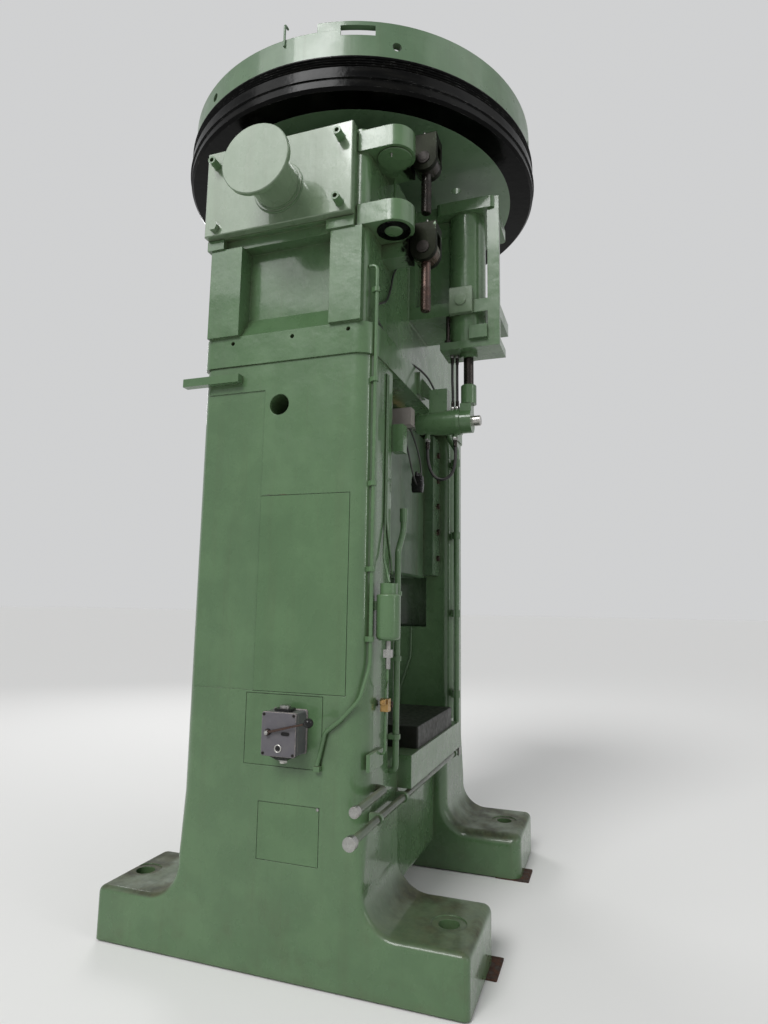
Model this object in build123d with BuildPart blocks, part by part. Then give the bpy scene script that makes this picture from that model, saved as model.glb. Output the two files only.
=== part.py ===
from build123d import *

import math
import os

os.makedirs("parts", exist_ok=True)

# A belt-driven screw press. The flywheel on top stays at its height and turns the spindle,
# and the nut in the ram turns that into the ram's stroke.
# Millimetres. X across the press, -Y towards the operator, +Z up, origin on the floor.

# Frame casting: two feet with legs, the bed between them, and the two uprights
frame_width = 1900.0
frame_height = 2680.0
foot_length = 1750.0
foot_height = 232.0
foot_bend = 150.0
foot_edge = 25.0
foot_round = 35.0
leg_width = 516.0
leg_start = 430.0
blend_height = 270.0
upright_thickness = 350.0
front_depth = 435.0
back_depth = 450.0
corner_front = 100.0
corner_back = 60.0
corner_inner = 60.0
shim_thickness = 8.0
shim_size = 190.0
shim_reach = 45.0

# Bed between the legs, with its front lip
bed_height = 845.0
bed_bottom = 140.0
bed_front = 360.0
bed_back = 375.0
lip_reach = 70.0
lip_depth = 150.0
lip_width = 1010.0
bed_fillet = 40.0

# Anchor holes in the feet
anchor_hole = 90.0
anchor_spacing_x = 1440.0
anchor_spacing_y = 1530.0
anchor_back = 25.0
anchor_spot = 150.0
anchor_spot_depth = 5.0

# Window in each upright's inner wall, and the chamber behind it
window_low = 1410.0
window_high = 1727.0
window_half = 262.0
chamber_low = 1205.0
chamber_high = 1993.0
wall_inner = 40.0
wall_outer = 45.0

# Flush covers let into the left side, and the shallow step beside the large one
cover_thickness = 12.0
cover_gap = 2.0
cover_front = 343.0
cover_back = 100.0
cover_low = 1162.0
cover_high = 2036.0
cover_land = 40.0
step_depth = 5.0
step_drop = 134.0
switch_plate_front = 240.0
switch_plate_back = 130.0
switch_plate_low = 850.0
switch_plate_high = 1150.0
lower_cover_front = 237.0
lower_cover_back = 50.0
lower_cover_low = 465.0
lower_cover_high = 697.0

# Hole for a lifting bar high in each upright
lift_hole = 100.0
lift_hole_depth = 180.0
lift_hole_drop = 210.0
lift_hole_y = 24.0

# Tie rods through the uprights and the crown
rod_diameter = 72.0
rod_clearance = 4.0
rod_x = 775.0
rod_front = 325.0
rod_back = 360.0
nut_across = 110.0
nut_height = 58.0
nut_pocket = 150.0
nut_pocket_top = 120.0
rod_end = 14.0

# Crown casting
band_height = 150.0
band_proud = 8.0
crown_rise = 1120.0
crown_front = 400.0
crown_corner = 50.0
rib_proud = 25.0
rib_front_low = 225.0
rib_front_high = 384.0
rib_back_low = 251.0
rib_back_high = 425.0
pocket_depth = 70.0
pocket_slope = 110.0
pocket_rise = 610.0
pad_height = 50.0
pad_proud = 35.0
shoulder_proud = 30.0
shoulder_front = 345.0
shoulder_back = 445.0
pad_overhang = 35.0
boss_diameter = 620.0
boss_height = 40.0
band_hole = 20.0
band_hole_rise = 116.0
band_hole_places = (-320.0, -34.0, 287.0)
band_hole_depth = 30.0

# Motor hinge ears on the crown's left front corner
ear_width = 198.0
ear_centre_x = 861.0
ear_centre_y = 501.0
ear_thickness = 104.0
ear_drop = 500.0
ear_spacing = 376.0
ear_bore = 160.0
bush_bore = 90.0
plug_diameter = 89.6
plug_drop = 6.0

# Lifting plates and their bollards
plate_thickness = 40.0
plate_front = 345.0
plate_back = 445.0
plate_height = 454.0
bollard_y = 35.0
bollard_drop = 270.0
bollard_neck = 226.0
bollard_collar = 252.0
bollard_collar_height = 12.0
bollard_disc = 340.0
bollard_disc_thickness = 26.0
bollard_reach = 202.0
sleeve_outer = 40.0
sleeve_inner = 22.0
sleeve_length = 58.0
fixing_front = 288.0
fixing_back = 385.0
fixing_rise = 44.0
fixing_spacing = 328.0
plate_bolt_across = 46.0
plate_bolt_head = 24.0

# Spindle, nut and bearings
spindle_diameter = 240.0
spindle_gap = 160.0
spindle_rise = 350.0
collar_diameter = 420.0
collar_height = 50.0
collar_pocket = 440.0
thrust_height = 24.0
thrust_recess = 90.0
bush_wall = 30.0
bush_length = 420.0
bush_flange = 190.0
bush_flange_height = 15.0
running_fit = 0.05
free_gap = 0.3
nut_outer = 420.0
nut_length = 300.0
nut_flange = 560.0
nut_flange_height = 40.0

# Ram and its guide rails
ram_length = 900.0
ram_drop = 60.0
ram_half_x = 480.0
ram_half_y = 288.0
ram_chamfer = 12.0
rail_length = 900.0
rail_drop = 40.0
rail_cheek = 130.0
rail_lap = 50.0
rail_front_wall = 62.0
rail_bolt_across = 36.0
rail_bolt_head = 16.0

# Bolster on the bed
bolster_half_x = 355.0
bolster_half_y = 492.0
bolster_thickness = 105.0

# Flywheel: grooved rim, web and hub, and the ring on top
rim_radius = 1050.0
rim_width = 135.0
rim_rise = 185.0
rim_depth = 177.0
ridge_rise = 52.0
ridge_height = 14.0
ridge_proud = 7.0
groove_count = 4
groove_pitch = 14.0
groove_depth = 9.0
groove_rise = 117.0
web_thickness = 45.0
hub_radius = 230.0
hub_rise = 215.0
web_hole = 60.0
web_hole_radius = 622.0
web_hole_angle = -97.0
ring_step = 18.0
ring_wall = 40.0
ring_height = 156.0
ring_hole = 45.0
ring_hole_angle = 30.0
ring_hole_height = 80.0
arc_height = 50.0
arc_wall = 30.0
arc_start = -172.0
arc_end = -60.0
arch_start = -165.5
arch_end = -156.0
arch_height = 28.0
hook_angle = 178.5
hook_low = 38.0
hook_height = 82.0
hook_reach = 30.0
hook_radius = 6.0

# Upright cylinder on the crown's front: barrel, its bracket and its foot
barrel_x = 200.0
barrel_y = 713.0
barrel_radius = 100.0
bracket_near = 300.0
bracket_far = 80.0
bracket_wall = 40.0
bracket_top_thickness = 65.0
bracket_drop = 43.0
bracket_top_reach = 885.0
bracket_top_back = 560.0
bracket_shelf_thickness = 72.0
bracket_shelf_drop = 622.0
bracket_shelf_reach = 893.0
cheek_reach = 905.0
cheek_root = 842.0
cheek_plate = 28.0
web_plate = 60.0
foot_plate = 42.0
foot_drop = 847.0
foot_half = 100.0
foot_back = 582.0
port_y = 702.0
port_width = 124.0
port_height = 144.0
port_drop = 628.0
port_depth = 34.0
port_plug = 62.0
port_plug_height = 8.0
block_length = 96.0
block_height = 72.0
block_depth = 60.0
block_proud = 22.0
stud_diameter = 22.0
stud_offset_x = 78.0
stud_offset_y = 92.0

# Hanging bolts that clamped the motor's cradle
swing_x = 695.0
swing_y = 612.0
swing_drop = 67.0
swing_spacing = 471.0
swing_eye = 130.0
swing_eye_width = 56.0
swing_pin = 40.0
swing_rod = 48.0
swing_upper_length = 268.0
swing_lower_length = 307.0
cheek_thickness = 26.0
cheek_gap = 1.0
lug_height = 48.0
lug_margin = 14.0
lug_root = 112.0
lug_clear = 9.0

# Ram lock under the crown's front: cylinder, plunger, bracket and the post at its front end
lock_x = 200.0
lock_drop = 145.0
cylinder_back_y = 432.0
cylinder_front_y = 660.0
cylinder_back = 108.0
cylinder_front = 143.0
loop_ends = (488.0, 643.0)
loop_drop = 83.0
port_radius = 13.0
plunger_diameter = 56.0
plunger_nose = 12.0
plunger_travel = 90.0
plunger_tail = 46.0
lock_hole = 64.0
lock_hole_depth = 100.0
saddle_back = 505.0
saddle_front = 605.0
saddle_rise = 40.0
saddle_half = 34.0
stay_plate = 24.0
stay_flange = 120.0
stay_flange_height = 125.0
stay_flange_rise = 140.0
stay_flange_thickness = 16.0
post_diameter = 84.0
post_rise = 54.0
post_length = 106.0
tongue_front = 738.0
tongue_width = 76.0
hanger_rod = 54.0
gland_outer = 97.0
gland_height = 24.0

# Switch box on the left side, with its hand lever
switch_y = -92.0
switch_z = 1004.0
switch_width = 165.0
switch_height = 184.0
switch_depth = 110.0
switch_corner = 12.0
gland_diameter = 46.0
gland_length = 20.0
lever_y = -44.0
lever_z = 1011.0
lever_shaft = 24.0
lever_stand = 16.0
lever_length = 196.0
lever_tilt = 15.0
lever_ball = 36.0

# Pipes and conduits
conduit_radius = 9.0
conduit_x = 911.0
conduit_y = 440.0
conduit_rise = 430.0
conduit_end_y = 230.0
conduit_end_z = 872.0
clip_height = 22.0
clip_wall = 6.0
conduit_clips = (2990.0, 2560.0, 2080.0, 1700.0, 1400.0)
supply_clips = (950.0, 1300.0, 1600.0)
riser_clips = (1000.0, 1500.0, 2000.0, 2480.0)
bed_clips = (-870.0, -520.0, 480.0)
supply_radius = 15.0
supply_x = 625.0
supply_y = 465.0
tube_radius = 5.0
riser_radius = 18.0
riser_x = 565.0
bed_pipe_radius = 17.0
bed_pipe_y = 472.0
fitting_size = 48.0
block_left = 925.0
block_right = 760.0
block_low = 855.0
block_high = 925.0
manifold_depth = 17.0
upper_pipe_drop = 85.0
lower_pipe_drop = 185.0
bowl_x = 855.0
bowl_y = 500.0
bowl_radius = 53.0
bowl_low = 1393.0
bowl_high = 1592.0
bowl_neck = 38.0
bowl_neck_high = 1640.0
valve_x = 790.0
valve_z = 1112.0
valve_y = 470.0
valve_wheel = 48.0
bar_front = 228.0
bar_back = 540.0
bar_height = 40.0
bar_drop = 50.0
bar_depth = 40.0
box_x = 468.0
box_width = 62.0
box_depth = 134.0
clamp_x = 622.0
clamp_width = 62.0
clamp_depth = 57.0
clamp_height = 136.0
clamp_drop = 263.0
box_height = 92.0
box_drop = 133.0
hose_radius = 8.5
lock_hose_radius = 7.0
ledge_radius = 5.5
sensor_radius = 4.5
plug_radius = 11.0
plug_sleeve = 24.0
cable_box = 30.0

# Places that follow from the sizes above
half_width = frame_width / 2
foot_end = foot_length / 2
foot_top = shim_thickness + foot_height
leg_inner = half_width - leg_width
upright_inner = half_width - upright_thickness
blend_top = leg_start + blend_height
upright_middle = half_width - upright_thickness / 2
band_top = frame_height + band_height
crown_height = frame_height + crown_rise
boss_top = crown_height + boss_height
lift_hole_height = frame_height - lift_hole_drop
step_top = frame_height - step_drop
pocket_top = frame_height + pocket_rise
band_hole_z = frame_height + band_hole_rise
ear_low = crown_height - ear_drop
ear_high = ear_low + ear_spacing
plate_high = crown_height
plate_low = plate_high - plate_height
bollard_z = crown_height - bollard_drop
fixing_low = plate_low + fixing_rise
fixing_high = fixing_low + fixing_spacing
ram_high = frame_height - ram_drop
ram_low = ram_high - ram_length
rail_high = frame_height - rail_drop
rail_low = rail_high - rail_length
spindle_low = ram_low + spindle_gap
spindle_top = crown_height + spindle_rise
rim_inner = rim_radius - rim_width
rim_low = crown_height + rim_rise
rim_high = rim_low + rim_depth
groove_start = rim_low + groove_rise
hub_high = rim_low + hub_rise
ring_radius = rim_radius - ring_step
bracket_top_high = crown_height - bracket_drop
bracket_top_low = bracket_top_high - bracket_top_thickness
bracket_shelf_high = crown_height - bracket_shelf_drop
bracket_shelf_low = bracket_shelf_high - bracket_shelf_thickness
foot_high = crown_height - foot_drop
foot_low = foot_high - foot_plate
port_z = crown_height - port_drop
swing_upper_z = crown_height - swing_drop
swing_lower_z = swing_upper_z - swing_spacing
lock_z = frame_height - lock_drop
loop_top = lock_z - loop_drop
saddle_top = frame_height + saddle_rise
stay_flange_high = frame_height + stay_flange_rise
stay_flange_low = stay_flange_high - stay_flange_height
post_joint = frame_height + post_rise
post_shoulder = post_joint - post_length
conduit_top = frame_height + conduit_rise
bar_high = frame_height - bar_drop
bar_low = bar_high - bar_height
clamp_high = frame_height - clamp_drop
clamp_low = clamp_high - clamp_height
box_high = frame_height - box_drop
box_low = box_high - box_height
upper_pipe_z = bed_height - upper_pipe_drop
lower_pipe_z = bed_height - lower_pipe_drop
chamber_outer = half_width - wall_outer
chamber_inner = upright_inner + wall_inner
plate_inner = half_width + shoulder_proud
plate_outer = plate_inner + plate_thickness
ring_high = rim_high + ring_height
crown_band_front = front_depth + band_proud
lip_front_y = front_depth + lip_reach
spindle_radius = spindle_diameter / 2


def side_plan(width, front, back):
    """Plan of the left leg or upright, with its own radius at each outer corner."""
    inner = -half_width + width
    with BuildSketch() as plan:
        with BuildLine():
            FilletPolyline(
                (-half_width, -front_depth),
                (inner, -front_depth),
                (inner, back_depth),
                (-half_width, back_depth),
                radius=(front, corner_inner, corner_inner, back),
                close=True,
            )
        make_face()
    return plan.sketch


def crown_plan(proud, front, front_corner, back_corner):
    """Plan of the crown, standing proud of the frame's sides and back."""
    x = half_width + proud
    front_y = -front - proud
    back_y = back_depth + proud
    with BuildSketch() as plan:
        with BuildLine():
            FilletPolyline(
                (-x, front_y),
                (x, front_y),
                (x, back_y),
                (-x, back_y),
                radius=(front_corner, front_corner, back_corner, back_corner),
                close=True,
            )
        make_face()
    return plan.sketch


def bend_radii(points):
    """The largest easy bend at each inner point of a hose's or cable's route."""
    route = [Vector(*point) for point in points]
    radii = []
    for before, here, after in zip(route, route[1:], route[2:]):
        shorter = min((here - before).length, (after - here).length)
        turn = math.radians((here - before).get_angle(after - here))
        radii.append(0.45 * shorter / math.tan(turn / 2))
    return radii


def round_bar(points, bends, radius):
    """A round pipe, hose or cable along straight runs joined by bends."""
    with BuildPart() as bar:
        with BuildLine() as route:
            FilletPolyline(*points, radius=bends)
        with BuildSketch(Plane(origin=route.line @ 0, z_dir=route.line % 0)):
            Circle(radius)
        sweep()
    return bar.part


def hexagon_radius(across):
    """Corner radius of a hexagon with this size across its flats."""
    return across / math.sqrt(3)


# Frame casting
with BuildPart() as frame_body:
    with BuildSketch(Plane.YZ.offset(-half_width)):
        with BuildLine():
            FilletPolyline(
                (-foot_end, shim_thickness),
                (foot_end, shim_thickness),
                (foot_end, foot_top),
                (back_depth, foot_top),
                (back_depth, leg_start),
                (-front_depth, leg_start),
                (-front_depth, foot_top),
                (-foot_end, foot_top),
                radius=(0, 0, foot_round, foot_bend, 0, 0, foot_bend, foot_round),
                close=True,
            )
        make_face()
    extrude(amount=leg_width)
    outer_side = frame_body.edges().group_by(Axis.X)[0]
    fillet(
        outer_side.filter_by(lambda edge: shim_thickness + 1 < edge.center().Z < leg_start - 1),
        foot_edge,
    )
    inner_side = frame_body.edges().group_by(Axis.X)[-1]
    fillet(
        inner_side.filter_by(lambda edge: shim_thickness + 1 < edge.center().Z < leg_start - 1),
        corner_inner,
    )
    with BuildSketch(Plane.XY.offset(leg_start)):
        add(side_plan(leg_width, foot_edge, foot_edge))
    with BuildSketch(Plane.XY.offset(blend_top)):
        add(side_plan(leg_width, corner_front, corner_back))
    loft()
    with BuildSketch(Plane.XY.offset(blend_top)):
        add(side_plan(leg_width, corner_front, corner_back))
    extrude(amount=bed_height - blend_top)
    with BuildSketch(Plane.XY.offset(bed_height)):
        add(side_plan(upright_thickness, corner_front, corner_back))
    extrude(amount=frame_height - bed_height)
    mirror(about=Plane.YZ)

    # Bed with a lip along its front and a recessed wall below
    with BuildSketch(Plane.YZ.offset(-leg_inner - 1)):
        with BuildLine():
            FilletPolyline(
                (-front_depth, bed_height),
                (-front_depth, bed_height - lip_depth),
                (-bed_front, bed_height - lip_depth - bed_fillet),
                (-bed_front, bed_bottom),
                (bed_back, bed_bottom),
                (bed_back, bed_height - lip_depth - bed_fillet),
                (back_depth, bed_height - lip_depth),
                (back_depth, bed_height),
                radius=(0, bed_fillet / 2, bed_fillet, bed_fillet, bed_fillet, bed_fillet, bed_fillet / 2, 0),
                close=True,
            )
        make_face()
    extrude(amount=2 * leg_inner + 2)
    with Locations((0, (back_depth - front_depth) / 2, bed_height - lip_depth / 2)):
        Box(2 * (leg_inner + corner_inner), back_depth + front_depth, lip_depth)
    with Locations((0, -front_depth - lip_reach / 2 + 20, bed_height - lip_depth / 2)):
        Box(lip_width, lip_reach + 40, lip_depth)

    # Chamber and window in each upright
    for side in (-1, 1):
        with Locations(
            (side * (chamber_inner + chamber_outer) / 2, 0, (chamber_low + chamber_high) / 2)
        ):
            Box(chamber_outer - chamber_inner, 2 * window_half, chamber_high - chamber_low, mode=Mode.SUBTRACT)
        with Locations((side * (upright_inner + wall_inner / 2), 0, (window_low + window_high) / 2)):
            Box(wall_inner + 2, 2 * window_half, window_high - window_low, mode=Mode.SUBTRACT)

    # Opening and recess for the large side cover, on the left
    cover_middle = (cover_back - cover_front) / 2
    with Locations((-half_width + wall_outer / 2, cover_middle, (cover_low + cover_high) / 2)):
        Box(
            wall_outer + 2,
            2 * (window_half + cover_middle),
            chamber_high - chamber_low,
            mode=Mode.SUBTRACT,
        )
    recess = Plane.YZ.offset(-half_width)
    with BuildSketch(recess):
        for front, back, low, high in (
            (cover_front, cover_back, cover_low, cover_high),
            (switch_plate_front, switch_plate_back, switch_plate_low, switch_plate_high),
            (lower_cover_front, lower_cover_back, lower_cover_low, lower_cover_high),
        ):
            with Locations(((back - front) / 2, (low + high) / 2)):
                Rectangle(front + back + 2 * cover_gap, high - low + 2 * cover_gap)
    extrude(amount=cover_thickness, mode=Mode.SUBTRACT)

    # Shallow step behind the large cover
    with Locations((-half_width, (cover_back + back_depth + cover_gap) / 2 + 20, (cover_low + step_top) / 2)):
        Box(
            2 * step_depth,
            back_depth - cover_back - cover_gap + 40,
            step_top - cover_low,
            mode=Mode.SUBTRACT,
        )

    # Lifting bar holes, tie rod bores with their nut pockets, and anchor holes
    for side in (-1, 1):
        with Locations(
            Location((side * (half_width - lift_hole_depth / 2), lift_hole_y, lift_hole_height), (0, 90, 0))
        ):
            Cylinder(lift_hole / 2, lift_hole_depth, mode=Mode.SUBTRACT)
    with BuildSketch(Plane.XY.offset(frame_height)) as rod_bores:
        for y in (-rod_front, rod_back):
            with Locations((-rod_x, y), (rod_x, y)):
                Circle(rod_diameter / 2 + rod_clearance)
    extrude(amount=-frame_height, mode=Mode.SUBTRACT)
    with BuildSketch(Plane.XY):
        for y in (-rod_front, rod_back):
            with Locations((-rod_x, y), (rod_x, y)):
                Circle(nut_pocket / 2)
    extrude(amount=nut_pocket_top, mode=Mode.SUBTRACT)
    with BuildSketch(Plane.XY):
        with Locations((0, anchor_back)):
            with GridLocations(anchor_spacing_x, anchor_spacing_y, 2, 2):
                Circle(anchor_hole / 2)
    extrude(amount=foot_top + 1, mode=Mode.SUBTRACT)
    with BuildSketch(Plane.XY.offset(foot_top)):
        with Locations((0, anchor_back)):
            with GridLocations(anchor_spacing_x, anchor_spacing_y, 2, 2):
                Circle(anchor_spot / 2)
    extrude(amount=-anchor_spot_depth, mode=Mode.SUBTRACT)
frame_body.part.label = "frame_body"
export_step(frame_body.part, "parts/frame_body.step")

# Shim packs under the four ends of the feet
shim_y = foot_end + shim_reach - shim_size / 2
with BuildPart() as foot_shims:
    with BuildSketch():
        with GridLocations(anchor_spacing_x - 2 * shim_size, 2 * shim_y, 2, 2):
            RectangleRounded(shim_size, shim_size, 6)
    extrude(amount=shim_thickness)
foot_shims.part.label = "foot_shims"
export_step(foot_shims.part, "parts/foot_shims.step")

# Flush covers on the left side
with BuildPart() as side_cover:
    with BuildSketch(Plane.YZ.offset(-half_width)):
        with Locations(((cover_back - cover_front) / 2, (cover_low + cover_high) / 2)):
            Rectangle(cover_front + cover_back, cover_high - cover_low)
    extrude(amount=cover_thickness)
side_cover.part.label = "side_cover"
export_step(side_cover.part, "parts/side_cover.step")

with BuildPart() as small_covers:
    with BuildSketch(Plane.YZ.offset(-half_width)):
        for front, back, low, high in (
            (switch_plate_front, switch_plate_back, switch_plate_low, switch_plate_high),
            (lower_cover_front, lower_cover_back, lower_cover_low, lower_cover_high),
        ):
            with Locations(((back - front) / 2, (low + high) / 2)):
                Rectangle(front + back, high - low)
    extrude(amount=cover_thickness)
small_covers.part.label = "small_covers"
export_step(small_covers.part, "parts/small_covers.step")

# Bolster plate on the bed
with BuildPart() as bolster:
    with Locations((0, 0, bed_height + bolster_thickness / 2)):
        Box(2 * bolster_half_x, 2 * bolster_half_y, bolster_thickness)
    chamfer(bolster.edges().filter_by(Axis.Z), 6)
    chamfer(bolster.faces().sort_by(Axis.Z)[-1].edges(), 4)
bolster.part.label = "bolster"
export_step(bolster.part, "parts/bolster.step")

# Crown casting with its band, side ribs and pockets, shoulders, ears and lugs
with BuildPart() as crown_body:
    with BuildSketch(Plane.XY.offset(frame_height)):
        add(crown_plan(band_proud, front_depth, corner_front, corner_back))
    extrude(amount=band_height)
    with BuildSketch(Plane.XY.offset(band_top)):
        add(crown_plan(0, crown_front, crown_corner, crown_corner))
    extrude(amount=crown_height - band_top)
    with Locations((0, 0, crown_height + boss_height / 2)):
        Cylinder(boss_diameter / 2, boss_height)
    for side in (-1, 1):
        with BuildSketch(Plane.XZ.offset(-rib_back_low)):
            with BuildLine():
                Polyline(
                    (side * (half_width + 1), band_top),
                    (side * (half_width - pocket_depth), band_top + pocket_slope),
                    (side * (half_width - pocket_depth), pocket_top),
                    (side * (half_width + 1), pocket_top),
                    close=True,
                )
            make_face()
        extrude(amount=rib_back_low + rib_front_low, mode=Mode.SUBTRACT)
        for front, back in ((-rib_front_high, -rib_front_low), (rib_back_low, rib_back_high)):
            with Locations(
                (side * (half_width + rib_proud / 2 - 30), (front + back) / 2, (band_top + pocket_top) / 2)
            ):
                Box(rib_proud + 60, back - front, pocket_top - band_top)
        for front, back in ((-shoulder_front, 20 - rib_front_low), (rib_back_low + 100, shoulder_back)):
            with Locations(
                (side * (half_width + pad_proud / 2 - 20), (front + back) / 2, pocket_top + pad_height / 2)
            ):
                Box(pad_proud + 40, back - front, pad_height)
        with Locations(
            (
                side * (half_width + shoulder_proud / 2 - 20),
                (shoulder_back - shoulder_front) / 2,
                (pocket_top + pad_height + crown_height) / 2,
            )
        ):
            Box(shoulder_proud + 40, shoulder_back + shoulder_front, crown_height - pocket_top - pad_height)
    for low in (ear_low, ear_high):
        with BuildSketch(Plane.XY.offset(low)):
            with Locations((-ear_centre_x, -ear_centre_y)):
                Circle(ear_width / 2)
            with Locations((-ear_centre_x, -(ear_centre_y + crown_front - crown_corner) / 2)):
                Rectangle(ear_width, ear_centre_y - crown_front + crown_corner)
        extrude(amount=ear_thickness)
    with Locations((-ear_centre_x, -ear_centre_y, (ear_low + ear_high + ear_thickness) / 2)):
        Cylinder(ear_bore / 2, ear_high - ear_low + ear_thickness + 2, mode=Mode.SUBTRACT)

    # Lugs for the hanging bolts: a root on the front face, a plate on top and two cheeks to the pin
    lug_width = swing_eye_width + 2 * (cheek_gap + cheek_thickness)
    cheek_middle = (swing_eye_width + cheek_thickness) / 2 + cheek_gap
    root_front = swing_y - swing_eye / 2 - lug_clear
    for pin_z in (swing_upper_z, swing_lower_z):
        lug_low = pin_z + swing_eye / 2 + lug_margin
        lug_high = lug_low + lug_height
        with Locations((-swing_x, -(crown_front + root_front) / 2, lug_high - (lug_height + lug_root) / 2)):
            Box(lug_width, root_front - crown_front, lug_height + lug_root)
        with Locations((-swing_x, -(root_front + swing_y + swing_eye / 2) / 2, (lug_low + lug_high) / 2)):
            Box(lug_width, swing_y + swing_eye / 2 - root_front, lug_height)
        for x in (-swing_x - cheek_middle, -swing_x + cheek_middle):
            with BuildSketch(Plane.YZ.offset(x - cheek_thickness / 2)):
                with Locations((-swing_y, pin_z)):
                    Circle(swing_eye / 2)
                with Locations((-swing_y, (pin_z + lug_low) / 2)):
                    Rectangle(swing_eye, lug_low - pin_z)
            extrude(amount=cheek_thickness)
        with Locations(Location((-swing_x, -swing_y, pin_z), (0, 90, 0))):
            Cylinder(swing_pin / 2, lug_width + 2, mode=Mode.SUBTRACT)

    # Bores for the spindle's bushes, the thrust ring and the tie rods, and the band's small holes
    with Locations((0, 0, (frame_height + crown_height + boss_height) / 2)):
        Cylinder(spindle_radius + bush_wall, crown_height + boss_height - frame_height + 2, mode=Mode.SUBTRACT)
    with Locations((0, 0, frame_height + thrust_recess / 2)):
        Cylinder(collar_pocket / 2, thrust_recess, mode=Mode.SUBTRACT)
    with BuildSketch(Plane.XY.offset(frame_height - 1)):
        for y in (-rod_front, rod_back):
            with Locations((-rod_x, y), (rod_x, y)):
                Circle(rod_diameter / 2 + rod_clearance)
    extrude(amount=crown_height - frame_height + 2, mode=Mode.SUBTRACT)
    for y in band_hole_places:
        with Locations(Location((-half_width - band_proud, y, band_hole_z), (0, 90, 0))):
            Cylinder(band_hole / 2, 2 * band_hole_depth, mode=Mode.SUBTRACT)
crown_body.part.label = "crown_body"
export_step(crown_body.part, "parts/crown_body.step")

# Tie rods with a nut at each end
rod_low = nut_pocket_top - nut_height - rod_end
rod_high = crown_height + nut_height + rod_end
with BuildPart() as tie_rods:
    with BuildSketch(Plane.XY.offset(rod_low)):
        for y in (-rod_front, rod_back):
            with Locations((-rod_x, y), (rod_x, y)):
                Circle(rod_diameter / 2)
    extrude(amount=rod_high - rod_low)
tie_rods.part.label = "tie_rods"
export_step(tie_rods.part, "parts/tie_rods.step")

with BuildPart() as tie_rod_nuts:
    for low in (nut_pocket_top - nut_height, crown_height):
        with BuildSketch(Plane.XY.offset(low)):
            for y in (-rod_front, rod_back):
                with Locations((-rod_x, y), (rod_x, y)):
                    RegularPolygon(hexagon_radius(nut_across), 6)
                    Circle(rod_diameter / 2, mode=Mode.SUBTRACT)
        extrude(amount=nut_height)
tie_rod_nuts.part.label = "tie_rod_nuts"
export_step(tie_rod_nuts.part, "parts/tie_rod_nuts.step")

# Bushes in the ears, and the plug left in the lower one
with BuildPart() as pivot_bushes:
    for low in (ear_low, ear_high):
        with BuildSketch(Plane.XY.offset(low - 4)):
            with Locations((-ear_centre_x, -ear_centre_y)):
                Circle(ear_bore / 2)
                Circle(bush_bore / 2, mode=Mode.SUBTRACT)
        extrude(amount=ear_thickness + 8)
pivot_bushes.part.label = "pivot_bushes"
export_step(pivot_bushes.part, "parts/pivot_bushes.step")

with BuildPart() as pivot_plug:
    with Locations((-ear_centre_x, -ear_centre_y, ear_low - plug_drop + ear_thickness / 2)):
        Cylinder(plug_diameter / 2, ear_thickness)
    chamfer(pivot_plug.faces().sort_by(Axis.Z)[0].edges(), 5)
pivot_plug.part.label = "pivot_plug"
export_step(pivot_plug.part, "parts/pivot_plug.step")

# Hanging bolts and the pins they hang on
with BuildPart() as swing_pins:
    for pin_z in (swing_upper_z, swing_lower_z):
        with Locations(Location((-swing_x, -swing_y, pin_z), (0, 90, 0))):
            Cylinder(swing_pin / 2, lug_width + 12)
swing_pins.part.label = "swing_pins"
export_step(swing_pins.part, "parts/swing_pins.step")


def swing_bolt(pin_z, length):
    """An eye bolt hanging from its pin."""
    with BuildPart() as bolt:
        with Locations((-swing_x, -swing_y, pin_z - length / 2)):
            Cylinder(swing_rod / 2, length)
        chamfer(bolt.faces().sort_by(Axis.Z)[0].edges(), 4)
        with Locations(Location((-swing_x, -swing_y, pin_z), (0, 90, 0))):
            Cylinder(swing_eye / 2, swing_eye_width)
            Cylinder(swing_pin / 2 + running_fit, swing_eye_width, mode=Mode.SUBTRACT)
    return bolt.part


with BuildPart() as swing_bolt_upper:
    add(swing_bolt(swing_upper_z, swing_upper_length))
swing_bolt_upper.part.label = "swing_bolt_upper"
export_step(swing_bolt_upper.part, "parts/swing_bolt_upper.step")

with BuildPart() as swing_bolt_lower:
    add(swing_bolt(swing_lower_z, swing_lower_length))
swing_bolt_lower.part.label = "swing_bolt_lower"
export_step(swing_bolt_lower.part, "parts/swing_bolt_lower.step")

# Lifting plates on the crown's sides, each with a bollard, tube sleeves and one bolt
plate_places = ((-fixing_front, fixing_low), (-fixing_front, fixing_high), (fixing_back, fixing_high))


def lifting_plate(side):
    """Plate on one side of the crown, with the post that a rope is laid round."""
    reach = side * (plate_outer + bollard_reach)
    with BuildPart() as plate:
        with BuildSketch(Plane.YZ.offset(side * plate_inner)):
            with Locations(((plate_back - plate_front) / 2, (plate_low + plate_high) / 2)):
                Rectangle(plate_back + plate_front, plate_high - plate_low)
        extrude(amount=side * plate_thickness)
        outer_face = plate.faces().sort_by(Axis.X)[0 if side < 0 else -1]
        chamfer(outer_face.edges(), 4)
        with BuildSketch(Plane.YZ.offset(side * plate_outer)):
            with Locations((bollard_y, bollard_z)):
                Circle(bollard_collar / 2)
        extrude(amount=side * bollard_collar_height)
        with BuildSketch(Plane.YZ.offset(side * plate_outer)):
            with Locations((bollard_y, bollard_z)):
                Circle(bollard_neck / 2)
        extrude(amount=side * bollard_reach)
        with BuildSketch(Plane.YZ.offset(reach)):
            with Locations((bollard_y, bollard_z)):
                Circle(bollard_disc / 2)
        extrude(amount=side * bollard_disc_thickness)
        disc_rims = plate.edges().filter_by(GeomType.CIRCLE).sort_by(SortBy.RADIUS)[-2:]
        chamfer(disc_rims, 4)
    return plate.part


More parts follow.
